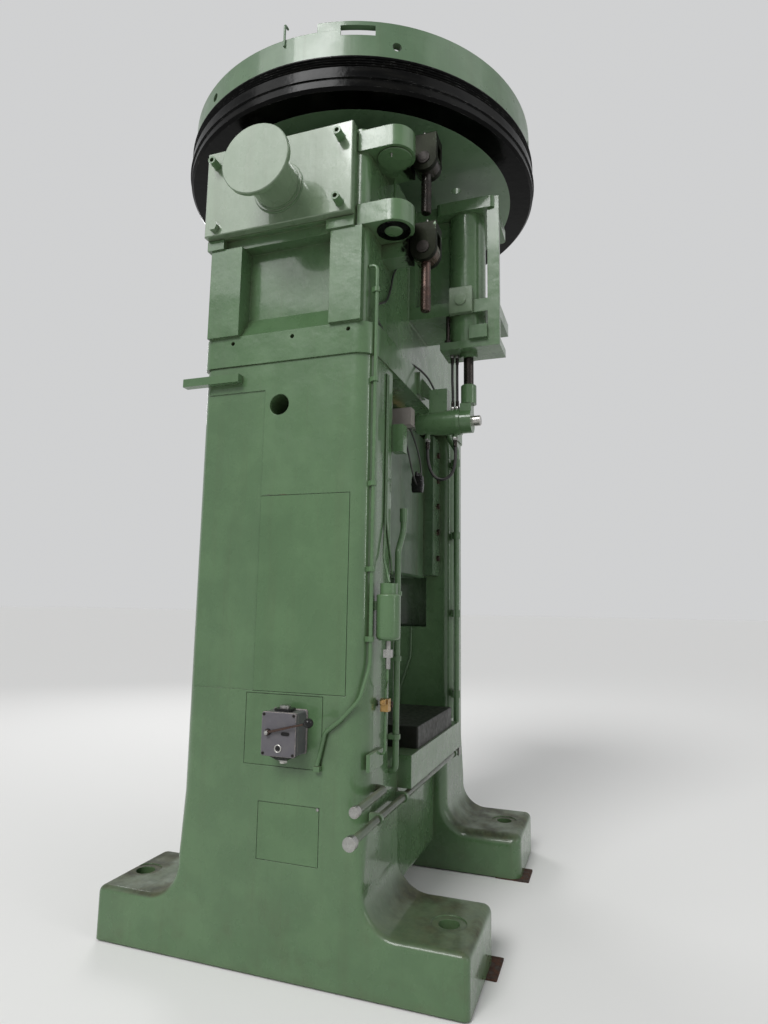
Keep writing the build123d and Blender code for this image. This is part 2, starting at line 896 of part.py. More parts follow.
with BuildPart() as lifting_plate_left:
    add(lifting_plate(-1))
lifting_plate_left.part.label = "lifting_plate_left"
export_step(lifting_plate_left.part, "parts/lifting_plate_left.step")

with BuildPart() as lifting_plate_right:
    add(lifting_plate(1))
lifting_plate_right.part.label = "lifting_plate_right"
export_step(lifting_plate_right.part, "parts/lifting_plate_right.step")

with BuildPart() as plate_sleeves:
    for side in (-1, 1):
        with BuildSketch(Plane.YZ.offset(side * plate_outer)):
            with Locations(*plate_places):
                Circle(sleeve_outer / 2)
                Circle(sleeve_inner / 2, mode=Mode.SUBTRACT)
        extrude(amount=side * sleeve_length)
plate_sleeves.part.label = "plate_sleeves"
export_step(plate_sleeves.part, "parts/plate_sleeves.step")

with BuildPart() as plate_bolts:
    for side in (-1, 1):
        with BuildSketch(Plane.YZ.offset(side * plate_outer)):
            with Locations((fixing_back, fixing_low)):
                RegularPolygon(hexagon_radius(plate_bolt_across), 6)
        extrude(amount=side * plate_bolt_head)
plate_bolts.part.label = "plate_bolts"
export_step(plate_bolts.part, "parts/plate_bolts.step")

# Ram, with the lock's hole in its front and a counterbore for the nut
nut_seat = ram_high - nut_length + nut_flange_height
with BuildPart() as ram:
    with BuildSketch(Plane.XY.offset(ram_low)):
        Rectangle(2 * ram_half_x, 2 * ram_half_y)
    extrude(amount=ram_high - ram_low)
    chamfer(ram.faces().sort_by(Axis.Z)[0].edges(), ram_chamfer)
    with Locations((0, 0, (spindle_low - 30 + ram_high) / 2)):
        Cylinder(spindle_radius + 15, ram_high - spindle_low + 30, mode=Mode.SUBTRACT)
    with Locations((0, 0, (nut_seat + ram_high) / 2)):
        Cylinder(nut_outer / 2, ram_high - nut_seat, mode=Mode.SUBTRACT)
    with Locations(Location((-lock_x, -ram_half_y + lock_hole_depth / 2, lock_z), (90, 0, 0))):
        Cylinder(lock_hole / 2, lock_hole_depth, mode=Mode.SUBTRACT)
ram.part.label = "ram"
export_step(ram.part, "parts/ram.step")

with BuildPart() as ram_nut:
    with BuildSketch(Plane.XY.offset(nut_seat)):
        Circle(nut_outer / 2)
    extrude(amount=ram_high - nut_seat)
    with BuildSketch(Plane.XY.offset(ram_high)):
        Circle(nut_flange / 2)
    extrude(amount=nut_flange_height)
    with Locations((0, 0, (nut_seat + ram_high + nut_flange_height) / 2)):
        Cylinder(spindle_radius + running_fit, nut_length + 2, mode=Mode.SUBTRACT)
ram_nut.part.label = "ram_nut"
export_step(ram_nut.part, "parts/ram_nut.step")

# Guide rails in the four corners between ram and uprights
rail_front_y = ram_half_y + running_fit + rail_front_wall
rail_inner_x = ram_half_x + running_fit


def guide_rail(side, end):
    """One rail: a cheek beside the ram and a wall that laps its face."""
    lap_x = side * (ram_half_x - rail_lap)
    with BuildPart() as rail:
        with BuildSketch(Plane.XY.offset(rail_low)):
            with BuildLine():
                Polyline(
                    (side * upright_inner, end * rail_front_y),
                    (lap_x, end * rail_front_y),
                    (lap_x, end * (ram_half_y + running_fit)),
                    (side * rail_inner_x, end * (ram_half_y + running_fit)),
                    (side * rail_inner_x, end * (rail_front_y - rail_cheek - rail_front_wall)),
                    (side * upright_inner, end * (rail_front_y - rail_cheek - rail_front_wall)),
                    close=True,
                )
            make_face()
        extrude(amount=rail_high - rail_low)
    return rail.part


with BuildPart() as guide_rails_left:
    for end in (-1, 1):
        add(guide_rail(-1, end))
guide_rails_left.part.label = "guide_rails_left"
export_step(guide_rails_left.part, "parts/guide_rails_left.step")

with BuildPart() as guide_rails_right:
    for end in (-1, 1):
        add(guide_rail(1, end))
guide_rails_right.part.label = "guide_rails_right"
export_step(guide_rails_right.part, "parts/guide_rails_right.step")

with BuildPart() as guide_rail_bolts:
    for end in (-1, 1):
        with BuildSketch(Plane.XZ.offset(-end * rail_front_y)):
            for side in (-1, 1):
                with Locations((side * (upright_inner + ram_half_x) / 2, (rail_low + rail_high) / 2)):
                    with GridLocations(1, 170, 1, 5):
                        RegularPolygon(hexagon_radius(rail_bolt_across), 6)
        extrude(amount=-end * rail_bolt_head)
guide_rail_bolts.part.label = "guide_rail_bolts"
export_step(guide_rail_bolts.part, "parts/guide_rail_bolts.step")

# Spindle with its thrust collar, the thrust ring above the collar, and the two bushes
thrust_low = frame_height + thrust_recess - thrust_height
collar_top = thrust_low - running_fit
with BuildPart() as spindle:
    with BuildSketch(Plane.XY.offset(spindle_low)):
        Circle(spindle_radius)
    extrude(amount=spindle_top - spindle_low)
    with BuildSketch(Plane.XY.offset(collar_top - collar_height)):
        Circle(collar_diameter / 2)
    extrude(amount=collar_height)
    chamfer(spindle.faces().sort_by(Axis.Z)[0].edges(), 8)
    chamfer(spindle.faces().sort_by(Axis.Z)[-1].edges(), 6)
spindle.part.label = "spindle"
export_step(spindle.part, "parts/spindle.step")

with BuildPart() as thrust_ring:
    with BuildSketch(Plane.XY.offset(thrust_low)):
        Circle(collar_diameter / 2)
        Circle(spindle_radius + 4, mode=Mode.SUBTRACT)
    extrude(amount=thrust_height)
thrust_ring.part.label = "thrust_ring"
export_step(thrust_ring.part, "parts/thrust_ring.step")

with BuildPart() as spindle_bushes:
    for low in (frame_height + thrust_recess, boss_top - bush_length):
        with BuildSketch(Plane.XY.offset(low)):
            Circle(spindle_radius + bush_wall)
            Circle(spindle_radius + running_fit, mode=Mode.SUBTRACT)
        extrude(amount=bush_length)
    with BuildSketch(Plane.XY.offset(boss_top)):
        Circle(bush_flange)
        Circle(spindle_radius + running_fit, mode=Mode.SUBTRACT)
    extrude(amount=bush_flange_height)
spindle_bushes.part.label = "spindle_bushes"
export_step(spindle_bushes.part, "parts/spindle_bushes.step")

# Flywheel: the wheel with hub and web, its grooved rim, and the ring on top
hub_low = boss_top + bush_flange_height + running_fit
with BuildPart() as flywheel_wheel:
    with BuildSketch(Plane.XY.offset(rim_low)):
        Circle(rim_inner)
        Circle(spindle_radius, mode=Mode.SUBTRACT)
        with PolarLocations(web_hole_radius, 1, start_angle=web_hole_angle):
            Circle(web_hole / 2, mode=Mode.SUBTRACT)
    extrude(amount=web_thickness)
    with BuildSketch(Plane.XY.offset(hub_low)):
        Circle(hub_radius)
        Circle(spindle_radius, mode=Mode.SUBTRACT)
    extrude(amount=hub_high - hub_low)
flywheel_wheel.part.label = "flywheel_wheel"
export_step(flywheel_wheel.part, "parts/flywheel_wheel.step")

with BuildPart() as flywheel_rim:
    with BuildSketch(Plane.XZ):
        with BuildLine():
            outline = [
                (rim_inner, rim_low),
                (rim_radius - 14, rim_low),
                (rim_radius, rim_low + 14),
                (rim_radius, rim_low + ridge_rise),
                (rim_radius + ridge_proud, rim_low + ridge_rise + ridge_height / 4),
                (rim_radius + ridge_proud, rim_low + ridge_rise + ridge_height * 3 / 4),
                (rim_radius, rim_low + ridge_rise + ridge_height),
                (rim_radius, groove_start),
            ]
            for number in range(groove_count):
                low = groove_start + number * groove_pitch
                outline.append((rim_radius - groove_depth, low + groove_pitch * 0.45))
                outline.append((rim_radius, low + groove_pitch * 0.9))
            outline += [(rim_radius, rim_high), (rim_inner, rim_high)]
            Polyline(*outline, close=True)
        make_face()
    revolve(axis=Axis.Z)
flywheel_rim.part.label = "flywheel_rim"
export_step(flywheel_rim.part, "parts/flywheel_rim.step")

with BuildPart() as flywheel_ring:
    with BuildSketch(Plane.XY.offset(rim_high)):
        Circle(ring_radius)
        Circle(ring_radius - ring_wall, mode=Mode.SUBTRACT)
    extrude(amount=ring_height)
    with Locations((0, 0, rim_high + ring_hole_height)):
        with PolarLocations(ring_radius - ring_wall / 2, 6, start_angle=ring_hole_angle):
            with Locations(Location((0, 0, 0), (0, 90, 0))):
                Cylinder(ring_hole / 2, 2 * ring_wall, mode=Mode.SUBTRACT)
    with BuildSketch(Plane.XY.offset(ring_high)):
        with BuildLine():
            outer_arc = CenterArc((0, 0), ring_radius - 2, arc_start, arc_end - arc_start)
            inner_arc = CenterArc((0, 0), ring_radius - 2 - arc_wall, arc_start, arc_end - arc_start)
            Line(outer_arc @ 0, inner_arc @ 0)
            Line(outer_arc @ 1, inner_arc @ 1)
        make_face()
    extrude(amount=arc_height)
    with Locations((0, 0, ring_high)):
        with PolarLocations(ring_radius, 1, start_angle=(arch_start + arch_end) / 2):
            arch_width = 2 * ring_radius * math.sin(math.radians((arch_end - arch_start) / 2))
            Box(3 * arc_wall, arch_width, 2 * arch_height, mode=Mode.SUBTRACT)
    hook_line = ring_radius + hook_radius - 1
    hook_plane = Plane.XZ.rotated((0, 0, hook_angle))
    hook_points = [
        hook_plane.from_local_coords((distance, level, 0))
        for distance, level in (
            (hook_line, ring_high - hook_low),
            (hook_line, ring_high + hook_height),
            (hook_line - hook_reach, ring_high + hook_height),
        )
    ]
    add(round_bar([tuple(point) for point in hook_points], (2 * hook_radius,), hook_radius))
flywheel_ring.part.label = "flywheel_ring"
export_step(flywheel_ring.part, "parts/flywheel_ring.step")

# Upright cylinder on the crown's front: its bracket, barrel, foot, studs and ports
with BuildPart() as cylinder_bracket:
    bracket_middle = (bracket_far - bracket_near) / 2
    bracket_width = bracket_near + bracket_far
    with Locations((bracket_middle, -crown_front - bracket_wall / 2, (bracket_shelf_low + bracket_top_high) / 2)):
        Box(bracket_width, bracket_wall, bracket_top_high - bracket_shelf_low)
    with BuildSketch(Plane.XY.offset(bracket_top_low)):
        with Locations((bracket_middle - 8, -(bracket_top_back + bracket_top_reach) / 2)):
            RectangleRounded(bracket_width + 16, bracket_top_reach - bracket_top_back, 25)
        with Locations((bracket_middle, -(crown_front + bracket_top_back + 40) / 2)):
            Rectangle(bracket_width - 40, bracket_top_back + 40 - crown_front)
    extrude(amount=bracket_top_high - bracket_top_low)
    with BuildSketch(Plane.XY.offset(bracket_shelf_low)):
        with Locations((bracket_middle, -(crown_front + bracket_shelf_reach) / 2)):
            Rectangle(bracket_width, bracket_shelf_reach - crown_front)
    extrude(amount=bracket_shelf_high - bracket_shelf_low)
    with BuildSketch(Plane.XY.offset(foot_high)):
        with Locations((-bracket_near + cheek_plate / 2, -(cheek_root + cheek_reach) / 2)):
            Rectangle(cheek_plate, cheek_reach - cheek_root)
    extrude(amount=bracket_top_high - foot_high)
    with Locations((-barrel_x, -(crown_front + barrel_y) / 2, (bracket_shelf_low + bracket_top_high) / 2)):
        Box(web_plate, barrel_y - crown_front, bracket_top_high - bracket_shelf_low)
    with BuildSketch(Plane.XY.offset(foot_high)):
        with Locations((-barrel_x, -barrel_y)):
            Circle(barrel_radius + free_gap)
    extrude(amount=bracket_top_low - foot_high, mode=Mode.SUBTRACT)
cylinder_bracket.part.label = "cylinder_bracket"
export_step(cylinder_bracket.part, "parts/cylinder_bracket.step")

with BuildPart() as cylinder_barrel:
    with BuildSketch(Plane.XY.offset(foot_high)):
        with Locations((-barrel_x, -barrel_y)):
            Circle(barrel_radius)
    extrude(amount=bracket_top_low - foot_high)
cylinder_barrel.part.label = "cylinder_barrel"
export_step(cylinder_barrel.part, "parts/cylinder_barrel.step")

post_y = barrel_y + 5
with BuildPart() as cylinder_foot:
    with BuildSketch(Plane.XY.offset(foot_low)):
        with Locations((-barrel_x, -(foot_back + cheek_reach) / 2)):
            Rectangle(2 * foot_half, cheek_reach - foot_back)
    extrude(amount=foot_high - foot_low)
    with BuildSketch(Plane.XY.offset(foot_low)):
        with Locations((-barrel_x, -post_y)):
            Circle(gland_outer / 2)
    extrude(amount=-gland_height)
    with BuildSketch(Plane.XY.offset(foot_high)):
        with Locations((-bracket_near + block_depth / 2 - block_proud, -cheek_root + block_length / 2)):
            Rectangle(block_depth, block_length)
        with Locations((-barrel_x, -barrel_y)):
            Circle(barrel_radius + free_gap, mode=Mode.SUBTRACT)
    extrude(amount=block_height)
cylinder_foot.part.label = "cylinder_foot"
export_step(cylinder_foot.part, "parts/cylinder_foot.step")

stud_places = []
for x in (-barrel_x - stud_offset_x, -barrel_x + stud_offset_x):
    stud_places.append((x, -barrel_y + stud_offset_y))
with BuildPart() as cylinder_studs:
    with BuildSketch(Plane.XY.offset(foot_high)):
        with Locations(*stud_places):
            Circle(stud_diameter / 2)
    extrude(amount=bracket_shelf_low - foot_high)
    with BuildSketch(Plane.XY.offset(foot_high)):
        with Locations(*stud_places):
            RegularPolygon(hexagon_radius(34), 6)
    extrude(amount=18)
cylinder_studs.part.label = "cylinder_studs"
export_step(cylinder_studs.part, "parts/cylinder_studs.step")

port_face = bracket_near + port_depth
with BuildPart() as port_flange:
    with BuildSketch(Plane.YZ.offset(-bracket_near)):
        with Locations((-port_y, port_z)):
            Rectangle(port_width, port_height)
    extrude(amount=-port_depth)
    with BuildSketch(Plane.YZ.offset(-port_face)):
        with Locations((-port_y, port_z)):
            Circle(port_plug / 2)
    extrude(amount=-port_plug_height)
port_flange.part.label = "port_flange"
export_step(port_flange.part, "parts/port_flange.step")

# Ram lock under the crown's front: stay, cylinder, plunger, and the post at its front end
with BuildPart() as lock_stay:
    with BuildSketch(Plane.XZ.offset(crown_band_front)):
        with Locations((-lock_x, (stay_flange_low + stay_flange_high) / 2)):
            Rectangle(stay_flange, stay_flange_high - stay_flange_low)
    extrude(amount=stay_flange_thickness)
    with BuildSketch(Plane.YZ.offset(-lock_x - stay_plate / 2)):
        with BuildLine():
            Polyline(
                (-crown_band_front - 4, stay_flange_high - 6),
                (-saddle_back - 20, saddle_top - 10),
                (-saddle_back - 20, saddle_top - 60),
                (-crown_band_front - 4, stay_flange_low + 6),
                close=True,
            )
        make_face()
    extrude(amount=stay_plate)
    with Locations((-lock_x, -(saddle_back + saddle_front) / 2, (lock_z + saddle_top) / 2)):
        Box(2 * saddle_half, saddle_front - saddle_back, saddle_top - lock_z)
    with BuildSketch(Plane.XZ.offset(cylinder_back_y)):
        with Locations((-lock_x, lock_z)):
            Circle(cylinder_back / 2)
    with BuildSketch(Plane.XZ.offset(cylinder_front_y)):
        with Locations((-lock_x, lock_z)):
            Circle(cylinder_front / 2)
    loft(mode=Mode.SUBTRACT)
lock_stay.part.label = "lock_stay"
export_step(lock_stay.part, "parts/lock_stay.step")

with BuildPart() as lock_cylinder:
    with BuildSketch(Plane.XZ.offset(cylinder_back_y)):
        with Locations((-lock_x, lock_z)):
            Circle(cylinder_back / 2)
    with BuildSketch(Plane.XZ.offset(cylinder_front_y)):
        with Locations((-lock_x, lock_z)):
            Circle(cylinder_front / 2)
    loft()
    with BuildSketch(Plane.XZ.offset(cylinder_front_y)):
        with Locations((-lock_x, lock_z)):
            Circle(cylinder_front / 2)
    extrude(amount=barrel_y - post_diameter / 2 + 6 - cylinder_front_y)
    for y in loop_ends:
        with Locations((-lock_x, -y, (lock_z + loop_top) / 2)):
            Cylinder(port_radius, lock_z - loop_top)
    with BuildSketch(Plane.XZ.offset(cylinder_back_y)):
        with Locations((-lock_x, lock_z)):
            Circle(plunger_diameter / 2 + running_fit)
    extrude(amount=barrel_y - cylinder_back_y, mode=Mode.SUBTRACT)
lock_cylinder.part.label = "lock_cylinder"
export_step(lock_cylinder.part, "parts/lock_cylinder.step")

tongue_back = barrel_y - post_diameter / 2 + 6
with BuildPart() as hanger_post:
    with BuildSketch(Plane.XY.offset(post_shoulder)):
        with Locations((-lock_x, -post_y)):
            Circle(post_diameter / 2)
    extrude(amount=post_joint - post_shoulder)
    chamfer(hanger_post.faces().sort_by(Axis.Z)[-1].edges(), 5)
    with BuildSketch(Plane.XZ.offset(tongue_back)):
        with Locations((-lock_x, lock_z)):
            Circle(tongue_width / 2 + 26)
        with Locations((-lock_x, (lock_z + post_shoulder) / 2)):
            Rectangle(tongue_width, post_shoulder - lock_z)
        with Locations((-lock_x, lock_z)):
            Circle(plunger_diameter / 2 + running_fit, mode=Mode.SUBTRACT)
    extrude(amount=tongue_front - tongue_back)
hanger_post.part.label = "hanger_post"
export_step(hanger_post.part, "parts/hanger_post.step")

with BuildPart() as hanger_rod_piece:
    with BuildSketch(Plane.XY.offset(post_joint)):
        with Locations((-lock_x, -post_y)):
            Circle(hanger_rod / 2)
    extrude(amount=foot_low - gland_height - post_joint)
hanger_rod_piece.part.label = "hanger_rod"
export_step(hanger_rod_piece.part, "parts/hanger_rod.step")

plunger_front = tongue_front + plunger_tail
plunger_back = ram_half_y + plunger_nose
with BuildPart() as lock_plunger:
    with BuildSketch(Plane.XZ.offset(plunger_back)):
        with Locations((-lock_x, lock_z)):
            Circle(plunger_diameter / 2)
    extrude(amount=plunger_front - plunger_back)
    chamfer(lock_plunger.faces().sort_by(Axis.Y)[-1].edges(), 6)
    chamfer(lock_plunger.faces().sort_by(Axis.Y)[0].edges(), 4)
lock_plunger.part.label = "lock_plunger"
export_step(lock_plunger.part, "parts/lock_plunger.step")

# Junction box on the left front guide rail
with BuildPart() as junction_box:
    with Locations((-box_x, -rail_front_y - box_depth / 2, (box_low + box_high) / 2)):
        Box(box_width, box_depth, box_high - box_low)
    fillet(junction_box.edges().filter_by(Axis.Y), 4)
junction_box.part.label = "junction_box"
export_step(junction_box.part, "parts/junction_box.step")

# Switch box on the left leg, its glands and its hand lever
box_face = half_width + switch_depth
with BuildPart() as switch_box:
    with Locations((-half_width - switch_depth / 2, switch_y, switch_z)):
        Box(switch_depth, switch_width, switch_height)
    fillet(switch_box.edges().filter_by(Axis.X), switch_corner)
    chamfer(switch_box.faces().sort_by(Axis.X)[0].edges(), 3)
    with Locations(Location((-box_face, lever_y, lever_z), (0, 90, 0))):
        Cylinder(lever_shaft / 2 + running_fit, 60, mode=Mode.SUBTRACT)
switch_box.part.label = "switch_box"
export_step(switch_box.part, "parts/switch_box.step")

with BuildPart() as switch_glands:
    for level in (switch_z + (switch_height + gland_length) / 2, switch_z - (switch_height + gland_length) / 2):
        with Locations((-half_width - switch_depth / 2, switch_y, level)):
            Cylinder(gland_diameter / 2, gland_length)
switch_glands.part.label = "switch_glands"
export_step(switch_glands.part, "parts/switch_glands.step")

with BuildPart() as switch_lever:
    with Locations(Location((-box_face + 14 - lever_stand / 2, lever_y, lever_z), (0, 90, 0))):
        Cylinder(lever_shaft / 2, 28 + lever_stand)
    lever_end = (
        -box_face - lever_stand - 6,
        lever_y - lever_length * math.cos(math.radians(lever_tilt)),
        lever_z + lever_length * math.sin(math.radians(lever_tilt)),
    )
    lever_root = (-box_face - lever_stand + 6, lever_y, lever_z)
    with BuildLine() as lever_line:
        Line(lever_root, lever_end)
    with BuildSketch(Plane(origin=lever_line.line @ 0, z_dir=lever_line.line % 0)):
        Circle(6)
    sweep()
    with Locations(lever_end):
        Sphere(lever_ball / 2)
switch_lever.part.label = "switch_lever"
export_step(switch_lever.part, "parts/switch_lever.step")

# Oil bowl on the left upright's front, with its drain cock
with BuildPart() as oil_bowl:
    with Locations((-bowl_x, -bowl_y, (bowl_low + bowl_high) / 2)):
        Cylinder(bowl_radius, bowl_high - bowl_low)
    fillet(oil_bowl.faces().sort_by(Axis.Z)[0].edges(), 20)
    fillet(oil_bowl.faces().sort_by(Axis.Z)[-1].edges(), 8)
    with Locations((-bowl_x, -bowl_y, (bowl_high + bowl_neck_high) / 2)):
        Cylinder(bowl_neck, bowl_neck_high - bowl_high)
    with Locations((-bowl_x + 20, -(bowl_y + front_depth) / 2, bowl_high - 50)):
        Box(50, bowl_y - front_depth, 40)
oil_bowl.part.label = "oil_bowl"
export_step(oil_bowl.part, "parts/oil_bowl.step")

with BuildPart() as drain_cock:
    with BuildSketch(Plane.XY.offset(bowl_low)):
        with Locations((-bowl_x, -bowl_y)):
            Circle(11)
    extrude(amount=-120)
    with Locations((-bowl_x, -bowl_y, bowl_low - 55)):
        Box(30, 34, 34)
drain_cock.part.label = "drain_cock"
export_step(drain_cock.part, "parts/drain_cock.step")

# Hand valve under the bowl: its body, and the wheel that turns about the body's spigot
with BuildPart() as hand_valve:
    with Locations((-valve_x, -valve_y, valve_z)):
        Box(36, 36, 54)
    with Locations(Location((-valve_x + 26, -valve_y, valve_z), (0, 90, 0))):
        Cylinder(8, 24)
    with Locations((-valve_x - 34, -valve_y, valve_z + 16)):
        Cylinder(14, 22)
        Box(40, 12, 12)
hand_valve.part.label = "hand_valve"
export_step(hand_valve.part, "parts/hand_valve.step")

with BuildPart() as valve_wheel_part:
    with Locations(Location((-valve_x + 32, -valve_y, valve_z), (0, 90, 0))):
        Cylinder(valve_wheel / 2, 11)
        Cylinder(8 + running_fit, 11, mode=Mode.SUBTRACT)
    with Locations(Location((-valve_x + 32, -valve_y, valve_z), (0, 90, 0))):
        with PolarLocations(valve_wheel / 2, 8):
            Cylinder(4.5, 11, mode=Mode.SUBTRACT)
valve_wheel_part.part.label = "valve_wheel"
export_step(valve_wheel_part.part, "parts/valve_wheel.step")

# Bar on the left upright's side, reaching past its back
with BuildPart() as side_bar:
    with Locations((-half_width - bar_depth / 2, (bar_front + bar_back) / 2, (bar_low + bar_high) / 2)):
        Box(bar_depth, bar_back - bar_front, bar_high - bar_low)
side_bar.part.label = "side_bar"
export_step(side_bar.part, "parts/side_bar.step")

# Pipes fixed to the press
with BuildPart() as conduit:
    add(
        round_bar(
            (
                (-conduit_x, -crown_front - free_gap, conduit_top),
                (-conduit_x, -conduit_y, conduit_top),
                (-conduit_x, -conduit_y, switch_z + 286),
                (-half_width - 2, -conduit_y + 28, 1150),
                (-half_width - 14, -330, 1062),
                (-half_width - 14, -262, 1010),
                (-half_width - 14, -conduit_end_y, conduit_end_z),
            ),
            (24, 170, 90, 60, 40),
            conduit_radius,
        )
    )
conduit.part.label = "conduit"
export_step(conduit.part, "parts/conduit.step")

with BuildPart() as supply_pipe:
    add(
        round_bar(
            (
                (-supply_x, -front_depth, 800),
                (-supply_x, -supply_y, 800),
                (-supply_x, -supply_y, 1800),
                (-545, -supply_y, 1905),
                (-545, -supply_y, 2010),
            ),
            (24, 60, 60),
            supply_radius,
        )
    )
    with BuildSketch(Plane.XY.offset(1950)):
        with Locations((-545, -supply_y)):
            Circle(supply_radius + 4)
    extrude(amount=66)
supply_pipe.part.label = "supply_pipe"
export_step(supply_pipe.part, "parts/supply_pipe.step")

riser_y = bed_pipe_y
with BuildPart() as riser_pipe:
    add(
        round_bar(
            (
                (riser_x, -front_depth + 14, frame_height),
                (riser_x, -front_depth + 14, frame_height - 30),
                (riser_x, -riser_y, frame_height - 110),
                (riser_x, -riser_y, lower_pipe_z + fitting_size / 2),
            ),
            (40, 60),
            riser_radius,
        )
    )
riser_pipe.part.label = "riser_pipe"
export_step(riser_pipe.part, "parts/riser_pipe.step")

# Oil tubes along the left upright and on the right upright's inner side
tube_y = front_depth + tube_radius + free_gap
wall_tube_x = upright_inner - tube_radius - free_gap
tube_routes = (
    (
        ((-727, -tube_y, frame_height - 40), (-735, -tube_y, 1935), (-660, -tube_y, 1765), (-640, -tube_y, 1690)),
        (200, 60),
    ),
    (
        ((-747, -tube_y, frame_height - 40), (-752, -tube_y, 1925), (-790, -tube_y - 10, 1760), (-845, -bowl_y, bowl_neck_high + 3)),
        (200, 80),
    ),
    (
        (
            (-bowl_x, -bowl_y, bowl_low - 120),
            (-bowl_x, -bowl_y, 1225),
            (-valve_x, -valve_y, 1185),
            (-valve_x, -valve_y, valve_z + 27),
        ),
        (18, 18),
    ),
    (
        (
            (-valve_x, -valve_y, valve_z - 27),
            (-valve_x, -valve_y, block_high - 20),
            (-valve_x, -front_depth - manifold_depth, block_high - 20),
        ),
        (14,),
    ),
    (
        (
            (wall_tube_x, -166, window_low - 2),
            (wall_tube_x, -161, 1219),
            (wall_tube_x, -95, 1019),
            (wall_tube_x, -80, bed_height + 1),
        ),
        (150, 100),
    ),
)
with BuildPart() as oil_tubes:
    for points, bends in tube_routes:
        add(round_bar(points, bends, tube_radius))
oil_tubes.part.label = "oil_tubes"
export_step(oil_tubes.part, "parts/oil_tubes.step")

# Bed pipes in front of the left leg and under the lip, with their fittings
upper_end = 1120.0
lower_end = 1160.0
with BuildPart() as bed_pipes:
    add(
        round_bar(
            (
                (-upper_end, -bed_pipe_y, upper_pipe_z),
                (-valve_x, -bed_pipe_y, upper_pipe_z),
                (-valve_x, -front_depth, upper_pipe_z),
            ),
            (30,),
            bed_pipe_radius,
        )
    )
    with Locations(Location(((riser_x - fitting_size / 2 - lower_end) / 2, -bed_pipe_y, lower_pipe_z), (0, 90, 0))):
        Cylinder(bed_pipe_radius, riser_x - fitting_size / 2 + lower_end)
bed_pipes.part.label = "bed_pipes"
export_step(bed_pipes.part, "parts/bed_pipes.step")

with BuildPart() as pipe_fittings:
    with Locations(Location((-upper_end - 12, -bed_pipe_y, upper_pipe_z), (0, 90, 0))):
        Cylinder(22, 24)
    with Locations(Location((-lower_end - 15, -bed_pipe_y, lower_pipe_z), (0, 90, 0))):
        Cylinder(27, 30)
    with Locations((riser_x, -bed_pipe_y, lower_pipe_z)):
        Box(fitting_size, fitting_size, fitting_size)
pipe_fittings.part.label = "pipe_fittings"
export_step(pipe_fittings.part, "parts/pipe_fittings.step")

# Manifold low on the left upright, under the hand valve
with BuildPart() as valve_block:
    with Locations(
        (-(block_left + block_right) / 2, -front_depth - manifold_depth / 2, (block_low + block_high) / 2)
    ):
        Box(block_left - block_right, manifold_depth, block_high - block_low)
valve_block.part.label = "valve_block"
export_step(valve_block.part, "parts/valve_block.step")

# Where the loose cables begin: a small box on the crown's face, and a gland on the clamp block
ledge_start_x = -430.0
ledge_start_z = crown_height - 330
sensor_start_y = 470.0
sensor_start_z = clamp_high - 57

# Clips that hold the pipes, each with its foot on the face behind it
corner_x = half_width - corner_front
corner_y = front_depth - corner_front
corner_angle = math.degrees(math.atan2(-conduit_y + corner_y, -conduit_x + corner_x))
corner_reach = math.hypot(conduit_x - corner_x, conduit_y - corner_y)
clip_ring = conduit_radius + clip_wall
with BuildPart() as pipe_clips:
    for level in conduit_clips:
        with Locations(Location((-conduit_x, -conduit_y, level), (0, 0, corner_angle))):
            Cylinder(clip_ring, clip_height)
            with Locations(((corner_front - corner_reach) / 2, 0, 0)):
                Box(corner_reach - corner_front, 2 * clip_ring, clip_height)
            Cylinder(conduit_radius, clip_height, mode=Mode.SUBTRACT)
    for level in supply_clips:
        with Locations((-supply_x, -supply_y, level)):
            Cylinder(supply_radius + clip_wall, clip_height)
        with Locations((-supply_x, -(supply_y + front_depth) / 2, level)):
            Box(2 * (supply_radius + clip_wall), supply_y - front_depth, clip_height)
        with Locations((-supply_x, -supply_y, level)):
            Cylinder(supply_radius, clip_height, mode=Mode.SUBTRACT)
    for level in riser_clips:
        with Locations((riser_x, -riser_y, level)):
            Cylinder(riser_radius + clip_wall, 2 * clip_height)
        with Locations((riser_x + 38, -(riser_y + front_depth) / 2, level)):
            Box(76, riser_y - front_depth, 2 * clip_height)
        with Locations((riser_x, -riser_y, level)):
            Cylinder(riser_radius, 2 * clip_height, mode=Mode.SUBTRACT)
    for x in bed_clips:
        with Locations(Location((x, -bed_pipe_y, lower_pipe_z), (0, 90, 0))):
            Cylinder(bed_pipe_radius + clip_wall, clip_height)
        with Locations((x, -(bed_pipe_y + front_depth) / 2, lower_pipe_z)):
            Box(clip_height, bed_pipe_y - front_depth, 2 * (bed_pipe_radius + clip_wall))
        with Locations(Location((x, -bed_pipe_y, lower_pipe_z), (0, 90, 0))):
            Cylinder(bed_pipe_radius, clip_height, mode=Mode.SUBTRACT)
    with Locations((-half_width - 12, -conduit_end_y, conduit_end_z - 2.3 - clip_height / 2)):
        Box(24, 28, clip_height)
    with Locations((-clamp_x, -front_depth - clamp_depth / 2, (clamp_low + clamp_high) / 2)):
        Box(clamp_width, clamp_depth, clamp_high - clamp_low)
    with Locations((ledge_start_x, -crown_front - cable_box / 2, ledge_start_z + cable_box / 2)):
        Box(cable_box, cable_box, cable_box)
    with Locations(Location((-clamp_x + clamp_width / 2 + 10, -sensor_start_y, sensor_start_z), (0, 90, 0))):
        Cylinder(2 * sensor_radius, 20)
pipe_clips.part.label = "pipe_clips"
export_step(pipe_clips.part, "parts/pipe_clips.step")

